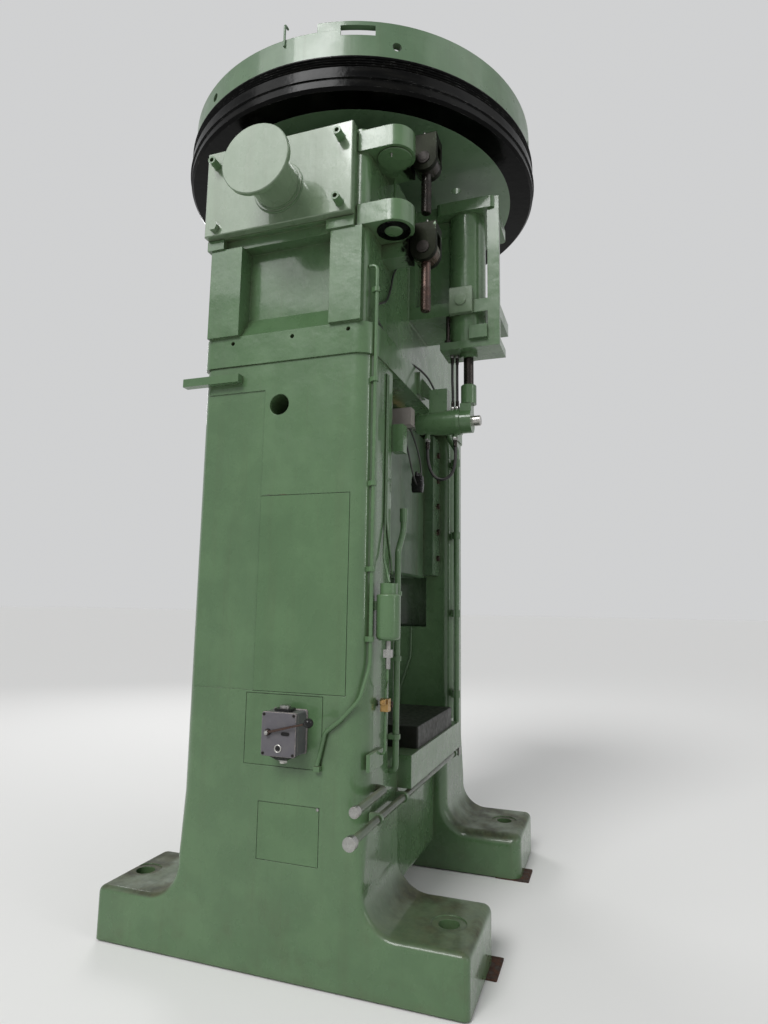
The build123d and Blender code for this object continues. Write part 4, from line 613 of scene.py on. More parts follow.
class Finish(Enum):
    """Finishes of the press, each made once."""

    FRAME = Enamel(
        "frame_enamel",
        foot_dirt=0.95,
        coat=0.55,
        dust=0.12,
        lumps=0.0016,
        edge=0.006,
        scratches=(
            Scratch((0.091, 2.041), (-0.2, 2.03), 0.0022, 0.8),
            Scratch((-0.053, 1.825), (-0.307, 1.829), 0.0018, 0.7),
        ),
    )
    CROWN = Enamel(
        "crown_enamel",
        edge=0.005,
        lumps=0.0018,
        grime_and_shade=0.85,
        grease_and_shade_spots=(
            ((-0.695, -0.612, 3.745), 0.13),
            ((-0.695, -0.612, 3.275), 0.125),
            ((-0.695, -0.615, 3.85), 0.105),
            ((-0.695, -0.615, 3.38), 0.1),
            # Painted shade: a black spot round the front pipe's entry stands for the hole that it
            # goes into.
            ((-0.69, -0.4, 3.738), 0.034),
        ),
    )
    # A lighter copy of the frame's green: painted light on the lifting plates, the port flange and
    # the plate bolts.
    PLATE = Enamel(
        "lit_plate_enamel", colour=linear(112, 130, 106), deep=linear(99, 119, 93), edge=0.003,
        gloss=0.28, coat=0.75, chips=0.6,
    )
    WHEEL = Enamel(
        "wheel_enamel", colour=linear(92, 116, 89), deep=linear(80, 104, 78), edge=0.003, grime_and_shade=0.6,
        lumps=0.0005, gloss=0.31, coat=0.25,
    )
    PIPE = Enamel(
        "pipe_enamel", edge=0.001, lumps=0.0002, reach=0.03, chips=0.35, runs=0.3, gloss=0.25,
    )
    BED_PIPE = Enamel(
        "bed_pipe_enamel", colour=linear(70, 88, 62), deep=linear(50, 60, 42), edge=0.002,
        lumps=0.0004, reach=0.05, chips=0.9, runs=0.8,
    )
    BRACKET = Enamel("bracket_enamel", edge=0.003, reach=0.06, chips=0.5)
    COVER = Enamel("cover_enamel", edge=0.0015, lumps=0.0008, reach=0.02, dust=0.2, chips=0.8)
    # A darker copy of the frame's green: painted shade on the ram inside the frame, with grime and
    # runs on top.
    RAM = Enamel(
        "shaded_ram_enamel", colour=linear(72, 94, 70), deep=linear(54, 73, 53), grime_and_shade=0.95, chips=0.6,
        runs=1.0, gloss=0.34, coat=0.12,
    )
    RAIL = Enamel(
        "rail_enamel", colour=linear(76, 99, 73), deep=linear(62, 83, 60), grime_and_shade=0.9, edge=0.002,
        reach=0.08, coat=0.2,
    )
    RIM = GlossBlack()
    GREASY = Metal(
        "greasy_steel", (0.04, 0.034, 0.03), rough=0.24, grease_and_shade=0.9, rust=0.06, coat=0.15,
        specular=0.3,
    )
    BOLSTER = Metal(
        "bolster_steel", (0.02, 0.022, 0.018), rough=0.4, metallic=0.25, grease_and_shade=1.0, rust=0.02,
        edge=0.003, specular=0.2,
    )
    BRIGHT = Metal("bright_steel", (0.56, 0.55, 0.52), rough=0.27, grease_and_shade=0.3, rust=0.06)
    RUSTY = Metal("rusty_iron", (0.1, 0.08, 0.07), rough=0.6, grease_and_shade=0.5, rust=0.8, pits=0.0006)
    BROWNED = Metal(
        "browned_steel", (0.1, 0.06, 0.048), rough=0.24, grease_and_shade=0.5, rust=0.12, coat=0.3,
    )
    BRONZE = Metal("bronze", (0.5, 0.31, 0.12), rough=0.3, grease_and_shade=0.55, rust=0.0)
    ZINC = Metal("zinc_plate", (0.42, 0.42, 0.4), rough=0.3, grease_and_shade=0.4, rust=0.15, marks=0.00002)
    BEAD = Enamel("bead_enamel", edge=0.0006, lumps=0.0, reach=0.015, grime_and_shade=0.9, chips=0.5)
    BLACKED = Metal(
        "blacked_steel", (0.035, 0.031, 0.028), rough=0.44, metallic=0.3, grease_and_shade=0.8, rust=0.03,
        specular=0.1,
    )
    RUBBER = Moulded("hose_rubber", (0.012, 0.012, 0.012), rough=0.42)
    BAKELITE = Moulded(
        "black_knob", (0.008, 0.008, 0.008), rough=0.2, depth=0.00002, coat=0.15, dust=0.05,
        specular=0.2,
    )
    HAMMERED = Moulded(
        "box_enamel", linear(84, 82, 87), rough=0.33, grain=150.0, depth=0.0005, dust=0.25,
        coat=0.2, worn=1.0, edge=0.0036,
    )
    PALE_BOX = Moulded("pale_enamel", linear(128, 122, 118), rough=0.45, grain=120.0, depth=0.0003)

    @property
    def material(self) -> bpy.types.Material:
        """The finish's material, built on first use."""
        found = bpy.data.materials.get(f"{self.value.name}_finish")
        return found or self.value.make()


NODE_FINISHES: dict[Finish, str] = {
    Finish.FRAME: "frame_body",
    Finish.CROWN: "crown_body pivot_plug",
    Finish.COVER: "side_cover small_covers",
    Finish.PLATE: "lifting_plate_left lifting_plate_right port_flange plate_bolts",
    Finish.PIPE: (
        "plate_sleeves conduit supply_pipe riser_pipe pipe_clips side_bar valve_block "
        "oil_bowl oil_tubes"
    ),
    Finish.BRACKET: (
        "cylinder_bracket cylinder_barrel cylinder_foot lock_stay lock_cylinder hanger_post"
    ),
    Finish.RAIL: "guide_rails_left guide_rails_right",
    Finish.WHEEL: "flywheel_wheel flywheel_ring",
    Finish.RIM: "flywheel_rim pivot_bushes",
    Finish.RAM: "ram",
    Finish.PALE_BOX: "junction_box",
    Finish.ZINC: "pipe_fittings switch_glands drain_cock",
    Finish.HAMMERED: "switch_box",
    Finish.BROWNED: "switch_lever tie_rod_nuts swing_bolt_lower guide_rail_bolts",
    Finish.GREASY: "hanger_rod tie_rods swing_bolt_upper spindle cylinder_studs",
    Finish.BOLSTER: "bolster",
    Finish.BLACKED: "swing_pins",
    Finish.BRIGHT: "lock_plunger",
    Finish.BRONZE: "ram_nut spindle_bushes thrust_ring hand_valve",
    Finish.RUSTY: "foot_shims valve_wheel",
    Finish.BED_PIPE: "bed_pipes",
    Finish.RUBBER: "lock_hoses",
}


@dataclass
class Shape:
    """Corners and faces of closed surfaces."""

    points: np.ndarray
    faces: list[list[int]]


def basis(axis: Point) -> np.ndarray:
    """Two directions across an axis, and the axis.

    Args:
        axis: The direction, of any length.

    Returns:
        Three rows at right angles, the last along the axis.
    """
    third = np.array(axis, float) / np.linalg.norm(axis)
    first = np.cross(UP if abs(third[2]) < 0.9 else (1.0, 0.0, 0.0), third)
    first /= np.linalg.norm(first)
    return np.array((first, np.cross(third, first), third))


def circle(count: int) -> np.ndarray:
    """Unit circle's points, as cosine and sine of evenly spaced angles."""
    angle = np.linspace(0.0, 2.0 * np.pi, count, endpoint=False) + 0.5 * np.pi / count
    return np.stack((np.cos(angle), np.sin(angle)), axis=1)


def hexagon(count: int) -> np.ndarray:
    """Hexagon of unit corner radius: the radius is cos 30 over the cosine to the nearest flat."""
    angle = np.linspace(0.0, 2.0 * np.pi, count, endpoint=False)
    radius = math.cos(math.pi / 6) / np.cos(np.mod(angle, math.pi / 3) - math.pi / 6)
    return np.stack((radius * np.cos(angle), radius * np.sin(angle)), axis=1)


def rounded(half_wide: float, half_high: float, corner: float, count: int) -> np.ndarray:
    """Rounded rectangle.

    Args:
        half_wide: Half its width.
        half_high: Half its height.
        corner: Radius of its corners.
        count: Number of points, a multiple of four.

    Returns:
        In each quarter, the corner circle's centre plus a point on that circle.
    """
    quarter = count // 4
    angle = np.concatenate([np.linspace(k, k + 1, quarter) * np.pi / 2 for k in range(4)])
    turn = (np.arange(4).repeat(quarter) + 0.5) * np.pi / 2
    side = np.sign(np.stack((np.cos(turn), np.sin(turn)), axis=1))
    centre = np.array((half_wide - corner, half_high - corner)) * side
    return centre + corner * np.stack((np.cos(angle), np.sin(angle)), axis=1)


def skin(rings: np.ndarray, looped: bool = False) -> Shape:
    """Closed surface through a row of closed rings.

    Args:
        rings: Rings by points by three coordinates.
        looped: Whether the last ring joins the first. Otherwise each end gets a fan to its middle.

    Returns:
        The surface, with its faces turned outwards by the sign of the volume that they enclose.
    """
    rows, count, _ = rings.shape
    points = rings.reshape(-1, 3)
    row = np.arange(rows if looped else rows - 1)[:, None]
    col = np.arange(count)[None, :]
    after, beside = (row + 1) % rows, (col + 1) % count
    here, there = row * count, after * count
    quads = np.stack((here + col, here + beside, there + beside, there + col), axis=-1)
    quads = quads.reshape(-1, 4)
    corners = [quads[:, (0, 1, 2)], quads[:, (0, 2, 3)]]
    faces = quads.tolist()
    if not looped:
        middles = np.stack((rings[0].mean(axis=0), rings[-1].mean(axis=0)))
        points = np.concatenate((points, middles))
        middle, top = np.full(count, rows * count), (rows - 1) * count
        start = np.stack((middle, beside[0], col[0]), axis=1)
        end = np.stack((middle + 1, top + col[0], top + beside[0]), axis=1)
        corners += [start, end]
        faces += start.tolist() + end.tolist()
    triangles = points[np.concatenate(corners)]
    crossed = np.cross(triangles[:, 1], triangles[:, 2])
    volume = np.einsum("ij,ij->i", triangles[:, 0], crossed).sum()
    if volume < 0:
        faces = [face[::-1] for face in faces]
    return Shape(points, faces)


def stack(
    outlines: Sequence[np.ndarray], levels: Sequence[float], centre: Point, axis: Point
) -> Shape:
    """Surface through flat outlines, one above the other along an axis.

    Args:
        outlines: The outlines, all with as many points.
        levels: Each outline's distance along the axis.
        centre: Where level 0 lies.
        axis: The direction of the levels.

    Returns:
        The closed surface.
    """
    across, up, along = basis(axis)
    flat = np.stack(outlines)
    height = np.array(levels)[:, None, None]
    rings = np.array(centre) + flat[..., :1] * across + flat[..., 1:] * up + height * along
    return skin(rings)


def turned(profile: Sequence[Pair], centre: Point, axis: Point, count: int = 40) -> Shape:
    """Turned piece: a profile of radius and level, swept once round the axis."""
    unit = circle(count)
    radii, levels = zip(*profile)
    return stack([radius * unit for radius in radii], levels, centre, axis)


def nut(across_flats: float, height: float, centre: Point, axis: Point) -> Shape:
    """Hexagon nut or head, its corners cut back by a cone at the top and the bottom."""
    corner = across_flats / math.sqrt(3.0)
    full = corner * hexagon(48)
    reach = np.linalg.norm(full, axis=1, keepdims=True)
    cut = full / reach * np.minimum(reach, 0.51 * across_flats)
    rim = 0.1 * height
    outlines = [0.6 * cut, 0.96 * cut, full, full, 0.96 * cut, 0.6 * cut]
    return stack(outlines, [0.0, 0.0, rim, height - rim, height, height], centre, axis)


def screw(radius: float, height: float, centre: Point, axis: Point) -> Shape:
    """Slotted screw head: a short cylinder whose top runs in to the slot and down its walls."""
    unit = circle(48)
    inner = rounded(0.82, 0.16, 0.12, 48)
    order = np.argsort(np.mod(np.arctan2(inner[:, 1], inner[:, 0]), 2 * np.pi), kind="stable")
    inner = inner[order]
    outlines = [radius * unit, radius * unit, 0.94 * radius * unit, radius * inner, radius * inner]
    return stack(outlines, [0.0, 0.85 * height, height, height, 0.45 * height], centre, axis)


def bead(path: np.ndarray, radius: float, looped: bool, seed: int) -> Shape:
    """Weld bead along a path.

    Args:
        path: Points along the seam.
        radius: Mean radius of the bead.
        looped: Whether the path closes on itself.
        seed: Seed of its unevenness.

    Returns:
        A tube whose radius swells with each pass: the mean, plus a rectified wave of the distance
        run, plus smoothed chance.
    """
    run = np.concatenate(((0.0,), np.cumsum(np.linalg.norm(np.diff(path, axis=0), axis=1))))
    ahead = np.roll(path, -1, axis=0) - np.roll(path, 1, axis=0)
    if not looped:
        ahead[0], ahead[-1] = path[1] - path[0], path[-1] - path[-2]
    ahead /= np.linalg.norm(ahead, axis=1, keepdims=True)
    first = np.cross(ahead, np.eye(3)[np.argmin(np.ptp(path, axis=0))])
    first /= np.linalg.norm(first, axis=1, keepdims=True)
    second = np.cross(ahead, first)
    chance = np.random.default_rng(seed).normal(0.0, 1.0, len(path))
    chance = np.convolve(np.tile(chance, 3), np.ones(7) / 7, "same")[len(path) : 2 * len(path)]
    swell = radius * (0.86 + 0.22 * np.abs(np.sin(np.pi * run / (1.1 * radius))) + 0.16 * chance)
    if not looped:
        swell[0] = swell[-1] = 0.35 * radius
    unit = circle(10)
    rings = path[:, None, :] + swell[:, None, None] * (
        unit[None, :, :1] * first[:, None, :] + unit[None, :, 1:] * second[:, None, :]
    )
    return skin(rings, looped)


def ring_path(centre: Point, axis: Point, radius: float, count: int) -> np.ndarray:
    """Points round a circle about an axis."""
    across, up, _ = basis(axis)
    unit = circle(count)
    return np.array(centre) + radius * (unit[:, :1] * across + unit[:, 1:] * up)


def line_path(start: Point, end: Point, step: float) -> np.ndarray:
    """Points along a straight line, about a step apart."""
    count = max(3, int(math.dist(start, end) / step))
    share = np.linspace(0.0, 1.0, count)[:, None]
    return (1.0 - share) * np.array(start) + share * np.array(end)


def thread(
    radius: float, depth: float, pitch: float, length: float, top: Point, count: int = 36
) -> Shape:
    """Outside thread on an upright rod.

    Args:
        radius: Radius over the crests.
        depth: From crest to root.
        pitch: Rise of one turn.
        length: Length of the threaded stretch, downwards from the top.
        top: Middle of its upper end.
        count: Points round it.

    Returns:
        A tube whose radius falls from the crest by the depth times the distance to the crest in
        turns, which climbs with the angle, and tapers to the root at both ends.
    """
    rows = int(length / pitch * 8)
    level = np.linspace(0.0, length, rows)[:, None]
    angle = np.linspace(0.0, 2.0 * np.pi, count, endpoint=False)[None, :]
    phase = np.mod(level / pitch + angle / (2.0 * np.pi), 1.0)
    fall = np.clip(np.abs(2.0 * phase - 1.0) * 1.5 - 0.25, 0.0, 1.0)
    runout = np.clip(np.minimum(level, length - level) / (1.2 * pitch), 0.0, 1.0)
    reach = radius - depth * (1.0 - (1.0 - fall) * runout)
    heights = np.broadcast_to(-level, reach.shape)
    rings = np.stack((reach * np.cos(angle), reach * np.sin(angle), heights), axis=-1)
    return skin(rings + np.array(top))


def placed(name: str, data: bpy.types.ID) -> bpy.types.Object:
    """Object that shows some data, linked to the scene."""
    thing = bpy.data.objects.new(name, data)
    bpy.context.scene.collection.objects.link(thing)
    return thing


def build(
    name: str,
    shapes: Iterable[Shape],
    finish: Finish,
    body: str = "press",
    replaced: Sequence[str] = (),
    crease: float = 32.0,
) -> bpy.types.Object:
    """Makes one piece from its surfaces and reports it.

    Args:
        name: The piece's name.
        shapes: Its closed surfaces.
        finish: Its finish.
        body: The body that it rides on.
        replaced: Nodes of the frame that it stands for.
        crease: Angle in degrees past which an edge stays sharp.

    Returns:
        The piece's object.
    """
    parts = list(shapes)
    offsets = np.cumsum([0] + [len(part.points) for part in parts])
    points = np.concatenate([part.points for part in parts])
    faces = [
        [int(offset) + corner for corner in face]
        for part, offset in zip(parts, offsets)
        for face in part.faces
    ]
    mesh = bpy.data.meshes.new(name)
    mesh.from_pydata(points.tolist(), [], faces)
    mesh.validate()
    mesh.shade_smooth()
    mesh.set_sharp_from_angle(angle=math.radians(crease))
    piece = placed(name, mesh)
    piece.data.materials.append(finish.material)
    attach(piece, body)
    if replaced:
        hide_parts(*replaced)
    log.info("%s: %d faces on %s, %s", name, len(faces), body, finish.value.name)
    return piece


@dataclass
class Cords:
    """The loose hose and cables, each with its radius, length, stiffness and route."""

    loop: tuple[float, float, str] = (0.0085, 0.532, "medium")
    ledge: tuple[float, float, str] = (0.0055, 1.546, "limp")
    sensor: tuple[float, float, str] = (0.0045, 0.709, "limp")
    loop_route: tuple[Point, ...] = (
        (-0.2, -0.488, 2.4514), (-0.199, -0.487, 2.394), (-0.198, -0.489, 2.334),
        (-0.197, -0.503, 2.277), (-0.197, -0.532, 2.233), (-0.198, -0.577, 2.219),
        (-0.199, -0.619, 2.241), (-0.201, -0.640, 2.288), (-0.202, -0.645, 2.344),
        (-0.201, -0.645, 2.398), (-0.2, -0.643, 2.4514),
    )
    ledge_route: tuple[Point, ...] = (
        (-0.430, -0.413, 3.468), (-0.452, -0.414, 3.388), (-0.532, -0.412, 3.308),
        (-0.602, -0.411, 3.222), (-0.640, -0.413, 3.120), (-0.700, -0.412, 3.030),
        (-0.790, -0.418, 2.984), (-0.862, -0.425, 2.940), (-0.893, -0.431, 2.886),
        (-0.864, -0.434, 2.846), (-0.802, -0.433, 2.8375), (-0.712, -0.424, 2.8365),
        (-0.602, -0.418, 2.8365), (-0.472, -0.427, 2.8365), (-0.362, -0.422, 2.8375),
        (-0.296, -0.440, 2.8425), (-0.270, -0.478, 2.812), (-0.240, -0.512, 2.770),
        (-0.224, -0.530, 2.7225),
    )
    sensor_route: tuple[Point, ...] = (
        (-0.568, -0.470, 2.360), (-0.544, -0.474, 2.344), (-0.531, -0.484, 2.294),
        (-0.512, -0.490, 2.240), (-0.474, -0.493, 2.190), (-0.428, -0.494, 2.158),
        (-0.380, -0.493, 2.150), (-0.338, -0.491, 2.178), (-0.316, -0.488, 2.236),
        (-0.312, -0.480, 2.306), (-0.332, -0.466, 2.380), (-0.378, -0.452, 2.444),
        (-0.434, -0.446, 2.484),
    )

    def curve(self, name: str, route: Sequence[Point], radius: float) -> bpy.types.Object:
        """Makes a round cord on a smooth curve.

        Args:
            name: The piece's name.
            route: Its control points.
            radius: Its radius.

        Returns:
            The curve's object, riding on the press.
        """
        data = bpy.data.curves.new(name, "CURVE")
        data.dimensions = "3D"
        spline = data.splines.new("NURBS")
        spline.points.add(len(route) - 1)
        for control, place in zip(spline.points, route):
            control.co = (*place, 1.0)
        spline.order_u = 3
        spline.use_endpoint_u = True
        spline.resolution_u = 12
        data.bevel_depth = radius
        data.bevel_resolution = 5
        data.use_fill_caps = True
        piece = placed(name, data)
        data.materials.append(Finish.RUBBER.material)
        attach(piece, "press")
        return piece

    def make(self) -> None:
        plug = Connector().make()
        rows = (
            ("loop_hose", self.loop, self.loop_route, ()),
            ("ledge_cable", self.ledge, self.ledge_route, ()),
            ("sensor_cable", self.sensor, self.sensor_route, (plug,)),
        )
        for node, (radius, length, stiffness), route, pieces in rows:
            piece = self.curve(f"{node}_curve", route, radius)
            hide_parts(node)
            log.info("%s: %.3f m", node, length)


@dataclass
class SwitchBox:
    """Cast switch box on the left leg: housing, lid, screws, pivot and hand lever."""

    centre_y: float = -0.092
    centre_z: float = 1.004
    back_x: float = -0.95
    face_x: float = -1.06
    half_wide: float = 0.0825
    half_high: float = 0.092
    corner: float = 0.012
    lever_y: float = -0.044
    lever_z: float = 1.011
    lever_end: Point = (-1.083, -0.241, 1.0638)
    ball: float = 0.02
    lever_root: float = 0.009
    nut_out: float = 0.0145
    screw_inset: float = 0.013
    screw_size: Pair = (0.006, 0.0032)
    sunk: float = 0.0004
    slot_spot: Pair = (0.033, 0.004)
    button_spot: Pair = (-0.048, 0.007)
    ring_spot: Pair = (0.001, -0.056)
    ring_size: Pair = (0.0142, 0.0029)
    ring_lift: float = 0.0012
    gland_nut: Pair = (0.03, 0.013)
    gland_drop: float = 0.0198

    def outline(self, inset: float) -> np.ndarray:
        """The box's outline seen along X, drawn in by an inset."""
        corner = max(0.003, self.corner - 0.5 * inset)
        return rounded(self.half_wide - inset, self.half_high - inset, corner, 64)

    def housing(self) -> Shape:
        """Housing: a foot flange, walls with a little draft, a lid joint and a rounded lid."""
        depth = self.back_x - self.face_x
        steps = (
            (0.0, 0.0),
            (0.0, 0.006),
            (0.0035, 0.009),
            (0.0045, depth - 0.026),
            (0.0065, depth - 0.025),
            (0.0065, depth - 0.0225),
            (0.002, depth - 0.0215),
            (0.002, depth - 0.004),
            (0.003, depth - 0.0015),
            (0.0055, depth - 0.0003),
            (0.012, depth - 0.0003),
        )
        centre = (self.back_x, self.centre_y, self.centre_z)
        insets, levels = zip(*steps)
        return stack([self.outline(inset) for inset in insets], levels, centre, LEFT)

    def at(self, right: float, up: float, out: float = 0.0) -> Point:
        """Point on the lid: metres towards the operator, upwards and outwards from its middle."""
        return (self.face_x - out, self.centre_y - right, self.centre_z + up)

    def make(self) -> None:
        """Makes the box and its lever."""
        housing = [self.housing()]
        build("switch_housing", housing, Finish.HAMMERED, replaced=("switch_box",))
        reach_y, reach_z = self.half_wide - self.screw_inset, self.half_high - self.screw_inset
        heads = [
            screw(*self.screw_size, self.at(side * reach_y, level * reach_z, -self.sunk), LEFT)
            for side in (-1, 1)
            for level in (-1, 1)
        ]
        build("switch_screws", heads, Finish.BLACKED)
        middle_x = 0.5 * (self.back_x + self.face_x)
        top = (middle_x, self.centre_y, self.centre_z + self.half_high)
        low = (middle_x, self.centre_y, self.centre_z - self.half_high)
        seat = [rounded(wide, 0.031, 0.012, 48) for wide in (0.04, 0.04, 0.036)]
        foot, neck = (0.05, 0.036), (0.027, 0.025)
        funnel = [rounded(*size, 0.01, 48) for size in (foot, foot, neck)]
        button = ((0.0, 0.0), (0.0145, 0.0), (0.0145, 0.0022), (0.0, 0.0024))
        seats = [
            stack(seat, [-0.001, 0.006, 0.009], top, UP),
            stack(funnel, [-0.001, 0.004, 0.017], low, DOWN),
            turned(button, self.at(*self.button_spot, -self.sunk), LEFT),
        ]
        build("switch_seats", seats, Finish.BAKELITE)
        lip, mouth, floor = (0.019, 0.007, 0.006), (0.016, 0.004, 0.0035), (0.0155, 0.0035, 0.003)
        slot_rings = [rounded(*size, 48) for size in (lip, lip, mouth, floor)]
        slot_levels = (-0.001, 0.0022, 0.0022, -0.0002)
        slot_frame = stack(slot_rings, slot_levels, self.at(*self.slot_spot), LEFT)
        knob = ((0.0, -0.001), (0.0085, -0.001), (0.0085, 0.0015), (0.0072, 0.0026), (0.0, 0.0026))
        key = turned(knob, self.at(*self.ring_spot), LEFT)
        build("switch_slot", [slot_frame, key], Finish.BAKELITE)
        ring = np.array(self.at(*self.ring_spot, self.ring_lift)) + self.hoop(*self.ring_size)
        build("switch_ring", [skin(ring, True)], Finish.BRIGHT)
        under = (middle_x, self.centre_y, low[2] - self.gland_drop)
        gland = nut(*self.gland_nut, under, DOWN)
        build("switch_gland_nut", [gland], Finish.BRIGHT)
        self.lever()

    @staticmethod
    def hoop(radius: float, thick: float) -> np.ndarray:
        """Round hoop facing along X: a circle of a small radius, carried round a larger one."""
        big, small = circle(48), circle(12)
        reach = radius + thick * small[None, :, 0]
        depth = np.broadcast_to(thick * small[None, :, 1], (len(big), len(small)))
        return np.stack((depth, big[:, None, 0] * reach, big[:, None, 1] * reach), axis=-1)

    def lever(self) -> None:
        """Makes the lever: hub, tapered rod, ball and the bright nut on its pivot."""
        pivot = (self.face_x, self.lever_y, self.lever_z)
        boss = ((0.0, 0.0005), (0.0118, 0.0005), (0.0118, 0.0125), (0.0105, 0.0145), (0.0, 0.0145))
        hub = turned(boss, pivot, LEFT)
        root = np.array((self.face_x - self.lever_root, self.lever_y, self.lever_z))
        run = np.array(self.lever_end) - root
        length = float(np.linalg.norm(run))
        run = tuple(run)
        taper = ((0.0, 0.0), (0.0055, 0.0), (0.0052, 0.3), (0.0042, 0.82), (0.004, 1.0), (0.0, 1.0))
        rod = turned([(radius, share * length) for radius, share in taper], tuple(root), run, 24)
        build("lever_rod", [hub, rod], Finish.BROWNED, "lever", ("switch_lever",))
        angle = np.linspace(0.02, np.pi - 0.02, 28)
        profile = [(self.ball * math.sin(a), -self.ball * math.cos(a)) for a in angle]
        collar = ((0.0, -0.024), (0.0072, -0.024), (0.0078, -0.014), (0.0, -0.012))
        ball = [turned(profile, self.lever_end, run), turned(collar, self.lever_end, run, 24)]
        build("lever_ball", ball, Finish.BAKELITE, "lever")
        tip = (self.face_x - self.nut_out, self.lever_y, self.lever_z)
        end = ((0.0, 0.0), (0.0045, 0.0), (0.0045, 0.0072), (0.0038, 0.008), (0.0, 0.008))
        pieces = [nut(0.0165, 0.006, tip, LEFT), turned(end, tip, LEFT, 20)]
        build("lever_nut", pieces, Finish.ZINC, "lever")


@dataclass
class HangingBolts:
    """Threads on the two hanging bolts, and the washers on their pins."""

    x: float = -0.695
    y: float = -0.612
    upper_z: float = 3.733
    lower_z: float = 3.262
    rod: float = 0.024
    upper_length: float = 0.268
    lower_length: float = 0.307
    upper_thread: float = 0.168
    lower_thread: float = 0.12
    proud: float = 0.0018
    depth: float = 0.0021
    pitch: float = 0.005
    runout: float = 0.003
    lug_half: float = 0.055
    seated: float = 0.0003

    def make(self) -> None:
        """Makes the threads and the pins' washers."""
        upper = (self.upper_z, self.upper_length, self.upper_thread, Finish.GREASY)
        lower = (self.lower_z, self.lower_length, self.lower_thread, Finish.BROWNED)
        for name, (pin_z, length, threaded, finish) in (("upper", upper), ("lower", lower)):
            top = (self.x, self.y, pin_z - length + threaded + self.runout)
            turns = thread(self.rod + self.proud, self.depth, self.pitch, threaded, top)
            body = f"{name}_hanging_bolt"
            build(f"{name}_thread", [turns], finish, body, crease=60.0)
        wide, rim, high = 0.0312, 0.03, 0.0045
        profile = ((0.0, 0.0), (rim, 0.0), (wide, 0.001), (wide, 0.0035), (rim, high), (0.0, high))
        away = self.lug_half + self.seated
        washers = [
            turned(profile, (self.x + side * away, self.y, z), (side, 0.0, 0.0))
            for z in (self.upper_z, self.lower_z)
            for side in (-1.0, 1.0)
        ]
        build("pin_washers", washers, Finish.BLACKED)


@dataclass
class Welds:
    """Weld beads of the lifting posts, the sleeves and the cylinder's bracket."""

    plate_x: float = 1.02
    post_y: float = 0.035
    post_z: float = 3.53
    collar: float = 0.126
    neck: float = 0.113
    disc_x: float = 1.222
    collar_height: float = 0.012
    sleeve: float = 0.02
    sleeve_places: tuple[Pair, ...] = ((-0.288, 3.39), (-0.288, 3.718), (0.385, 3.718))
    bead: float = 0.0045
    lift: float = 0.001
    step: float = 0.0025
    seeds: tuple[int, int, int] = (11, 31, 51)
    bracket_near: float = -0.3
    bracket_far: float = 0.08
    bracket_y: float = -0.4
    bracket_low: float = 3.106
    bracket_high: float = 3.757

    def make(self) -> None:
        """Makes the beads on each side, and those of the bracket."""
        for side, name in ((-1.0, "left"), (1.0, "right")):
            axis = (side, 0.0, 0.0)
            beads = []
            rings = (
                (self.plate_x + self.lift, self.collar + self.lift, 1.0),
                (self.plate_x + self.collar_height + self.lift, self.neck + self.lift, 0.9),
                (self.disc_x - self.lift, self.neck + self.lift, 1.0),
            )
            for number, (x, radius, size) in enumerate(rings):
                path = ring_path((side * x, self.post_y, self.post_z), axis, radius, 300)
                beads.append(bead(path, size * self.bead, True, self.seeds[0] + number))
            for number, (y, z) in enumerate(self.sleeve_places):
                place = (side * (self.plate_x + 0.5 * self.lift), y, z)
                path = ring_path(place, axis, self.sleeve + 0.5 * self.lift, 60)
                beads.append(bead(path, 0.55 * self.bead, True, self.seeds[1] + number))
            build(f"weld_beads_{name}", beads, Finish.BEAD, crease=60.0)
        near, far = self.bracket_near - self.lift, self.bracket_far + self.lift
        low, high, y = self.bracket_low, self.bracket_high, self.bracket_y - self.lift
        under = low - self.lift
        seams = (
            ((near, y, low), (near, y, high)),
            ((far, y, low), (far, y, high)),
            ((self.bracket_near, y, under), (self.bracket_far, y, under)),
        )
        lines = [
            bead(line_path(start, end, self.step), self.bead, False, self.seeds[2] + number)
            for number, (start, end) in enumerate(seams)
        ]
        build("bracket_beads", lines, Finish.BEAD, crease=60.0)


@dataclass
class Connector:
    """Black two-part connector at the bottom of the sensor cable's loop."""

    centre: Point = (-0.404, -0.4935, 2.163)
    half_wide: float = 0.03
    half_deep: float = 0.0165
    half_high: float = 0.043
    corner: float = 0.008
    ribs: int = 7
    rib_depth: float = 0.0012
    end_round: float = 0.004
    sleeve_x: float = 0.017
    sleeve_lean: float = 0.4

    def make(self) -> bpy.types.Object:
        """Makes the connector, which stands for the plug on the cable.

        Returns:
            The piece: a ribbed body, its radius dipping at each rib, with a collar at the joint
            and two sleeves where the cable goes in.
        """
        level = np.linspace(-self.half_high, self.half_high, 8 * self.ribs + 1)
        turn = 2.0 * np.pi * self.ribs * (level + self.half_high) / (2.0 * self.half_high)
        wave = np.clip(np.cos(turn), -0.3, 0.6)
        inset = self.rib_depth * wave + self.end_round * (level / self.half_high) ** 6
        wide, deep = self.half_wide, self.half_deep
        outlines = [rounded(wide - cut, deep - cut, self.corner, 48) for cut in inset.tolist()]
        body = stack(outlines, level.tolist(), self.centre, UP)
        steps = (-0.001, 0.002, 0.002, -0.001)
        collar = [rounded(wide + out, deep + out, 0.009, 48) for out in steps]
        joint = stack(collar, [-0.009, -0.007, 0.003, 0.005], self.centre, UP)
        x, y, z = self.centre
        top = z + self.half_high - 0.002
        profile = ((0.0, 0.0), (0.0105, 0.0), (0.0095, 0.006), (0.0062, 0.022), (0.0, 0.022))
        pieces = [body, joint]
        for side in (-1.0, 1.0):
            foot, lean = (x + side * self.sleeve_x, y, top), (side * self.sleeve_lean, 0.0, 1.0)
            pieces.append(turned(profile, foot, lean, 28))
        node = ("cable_plug",)
        return build("cable_connector", pieces, Finish.BAKELITE, replaced=node)


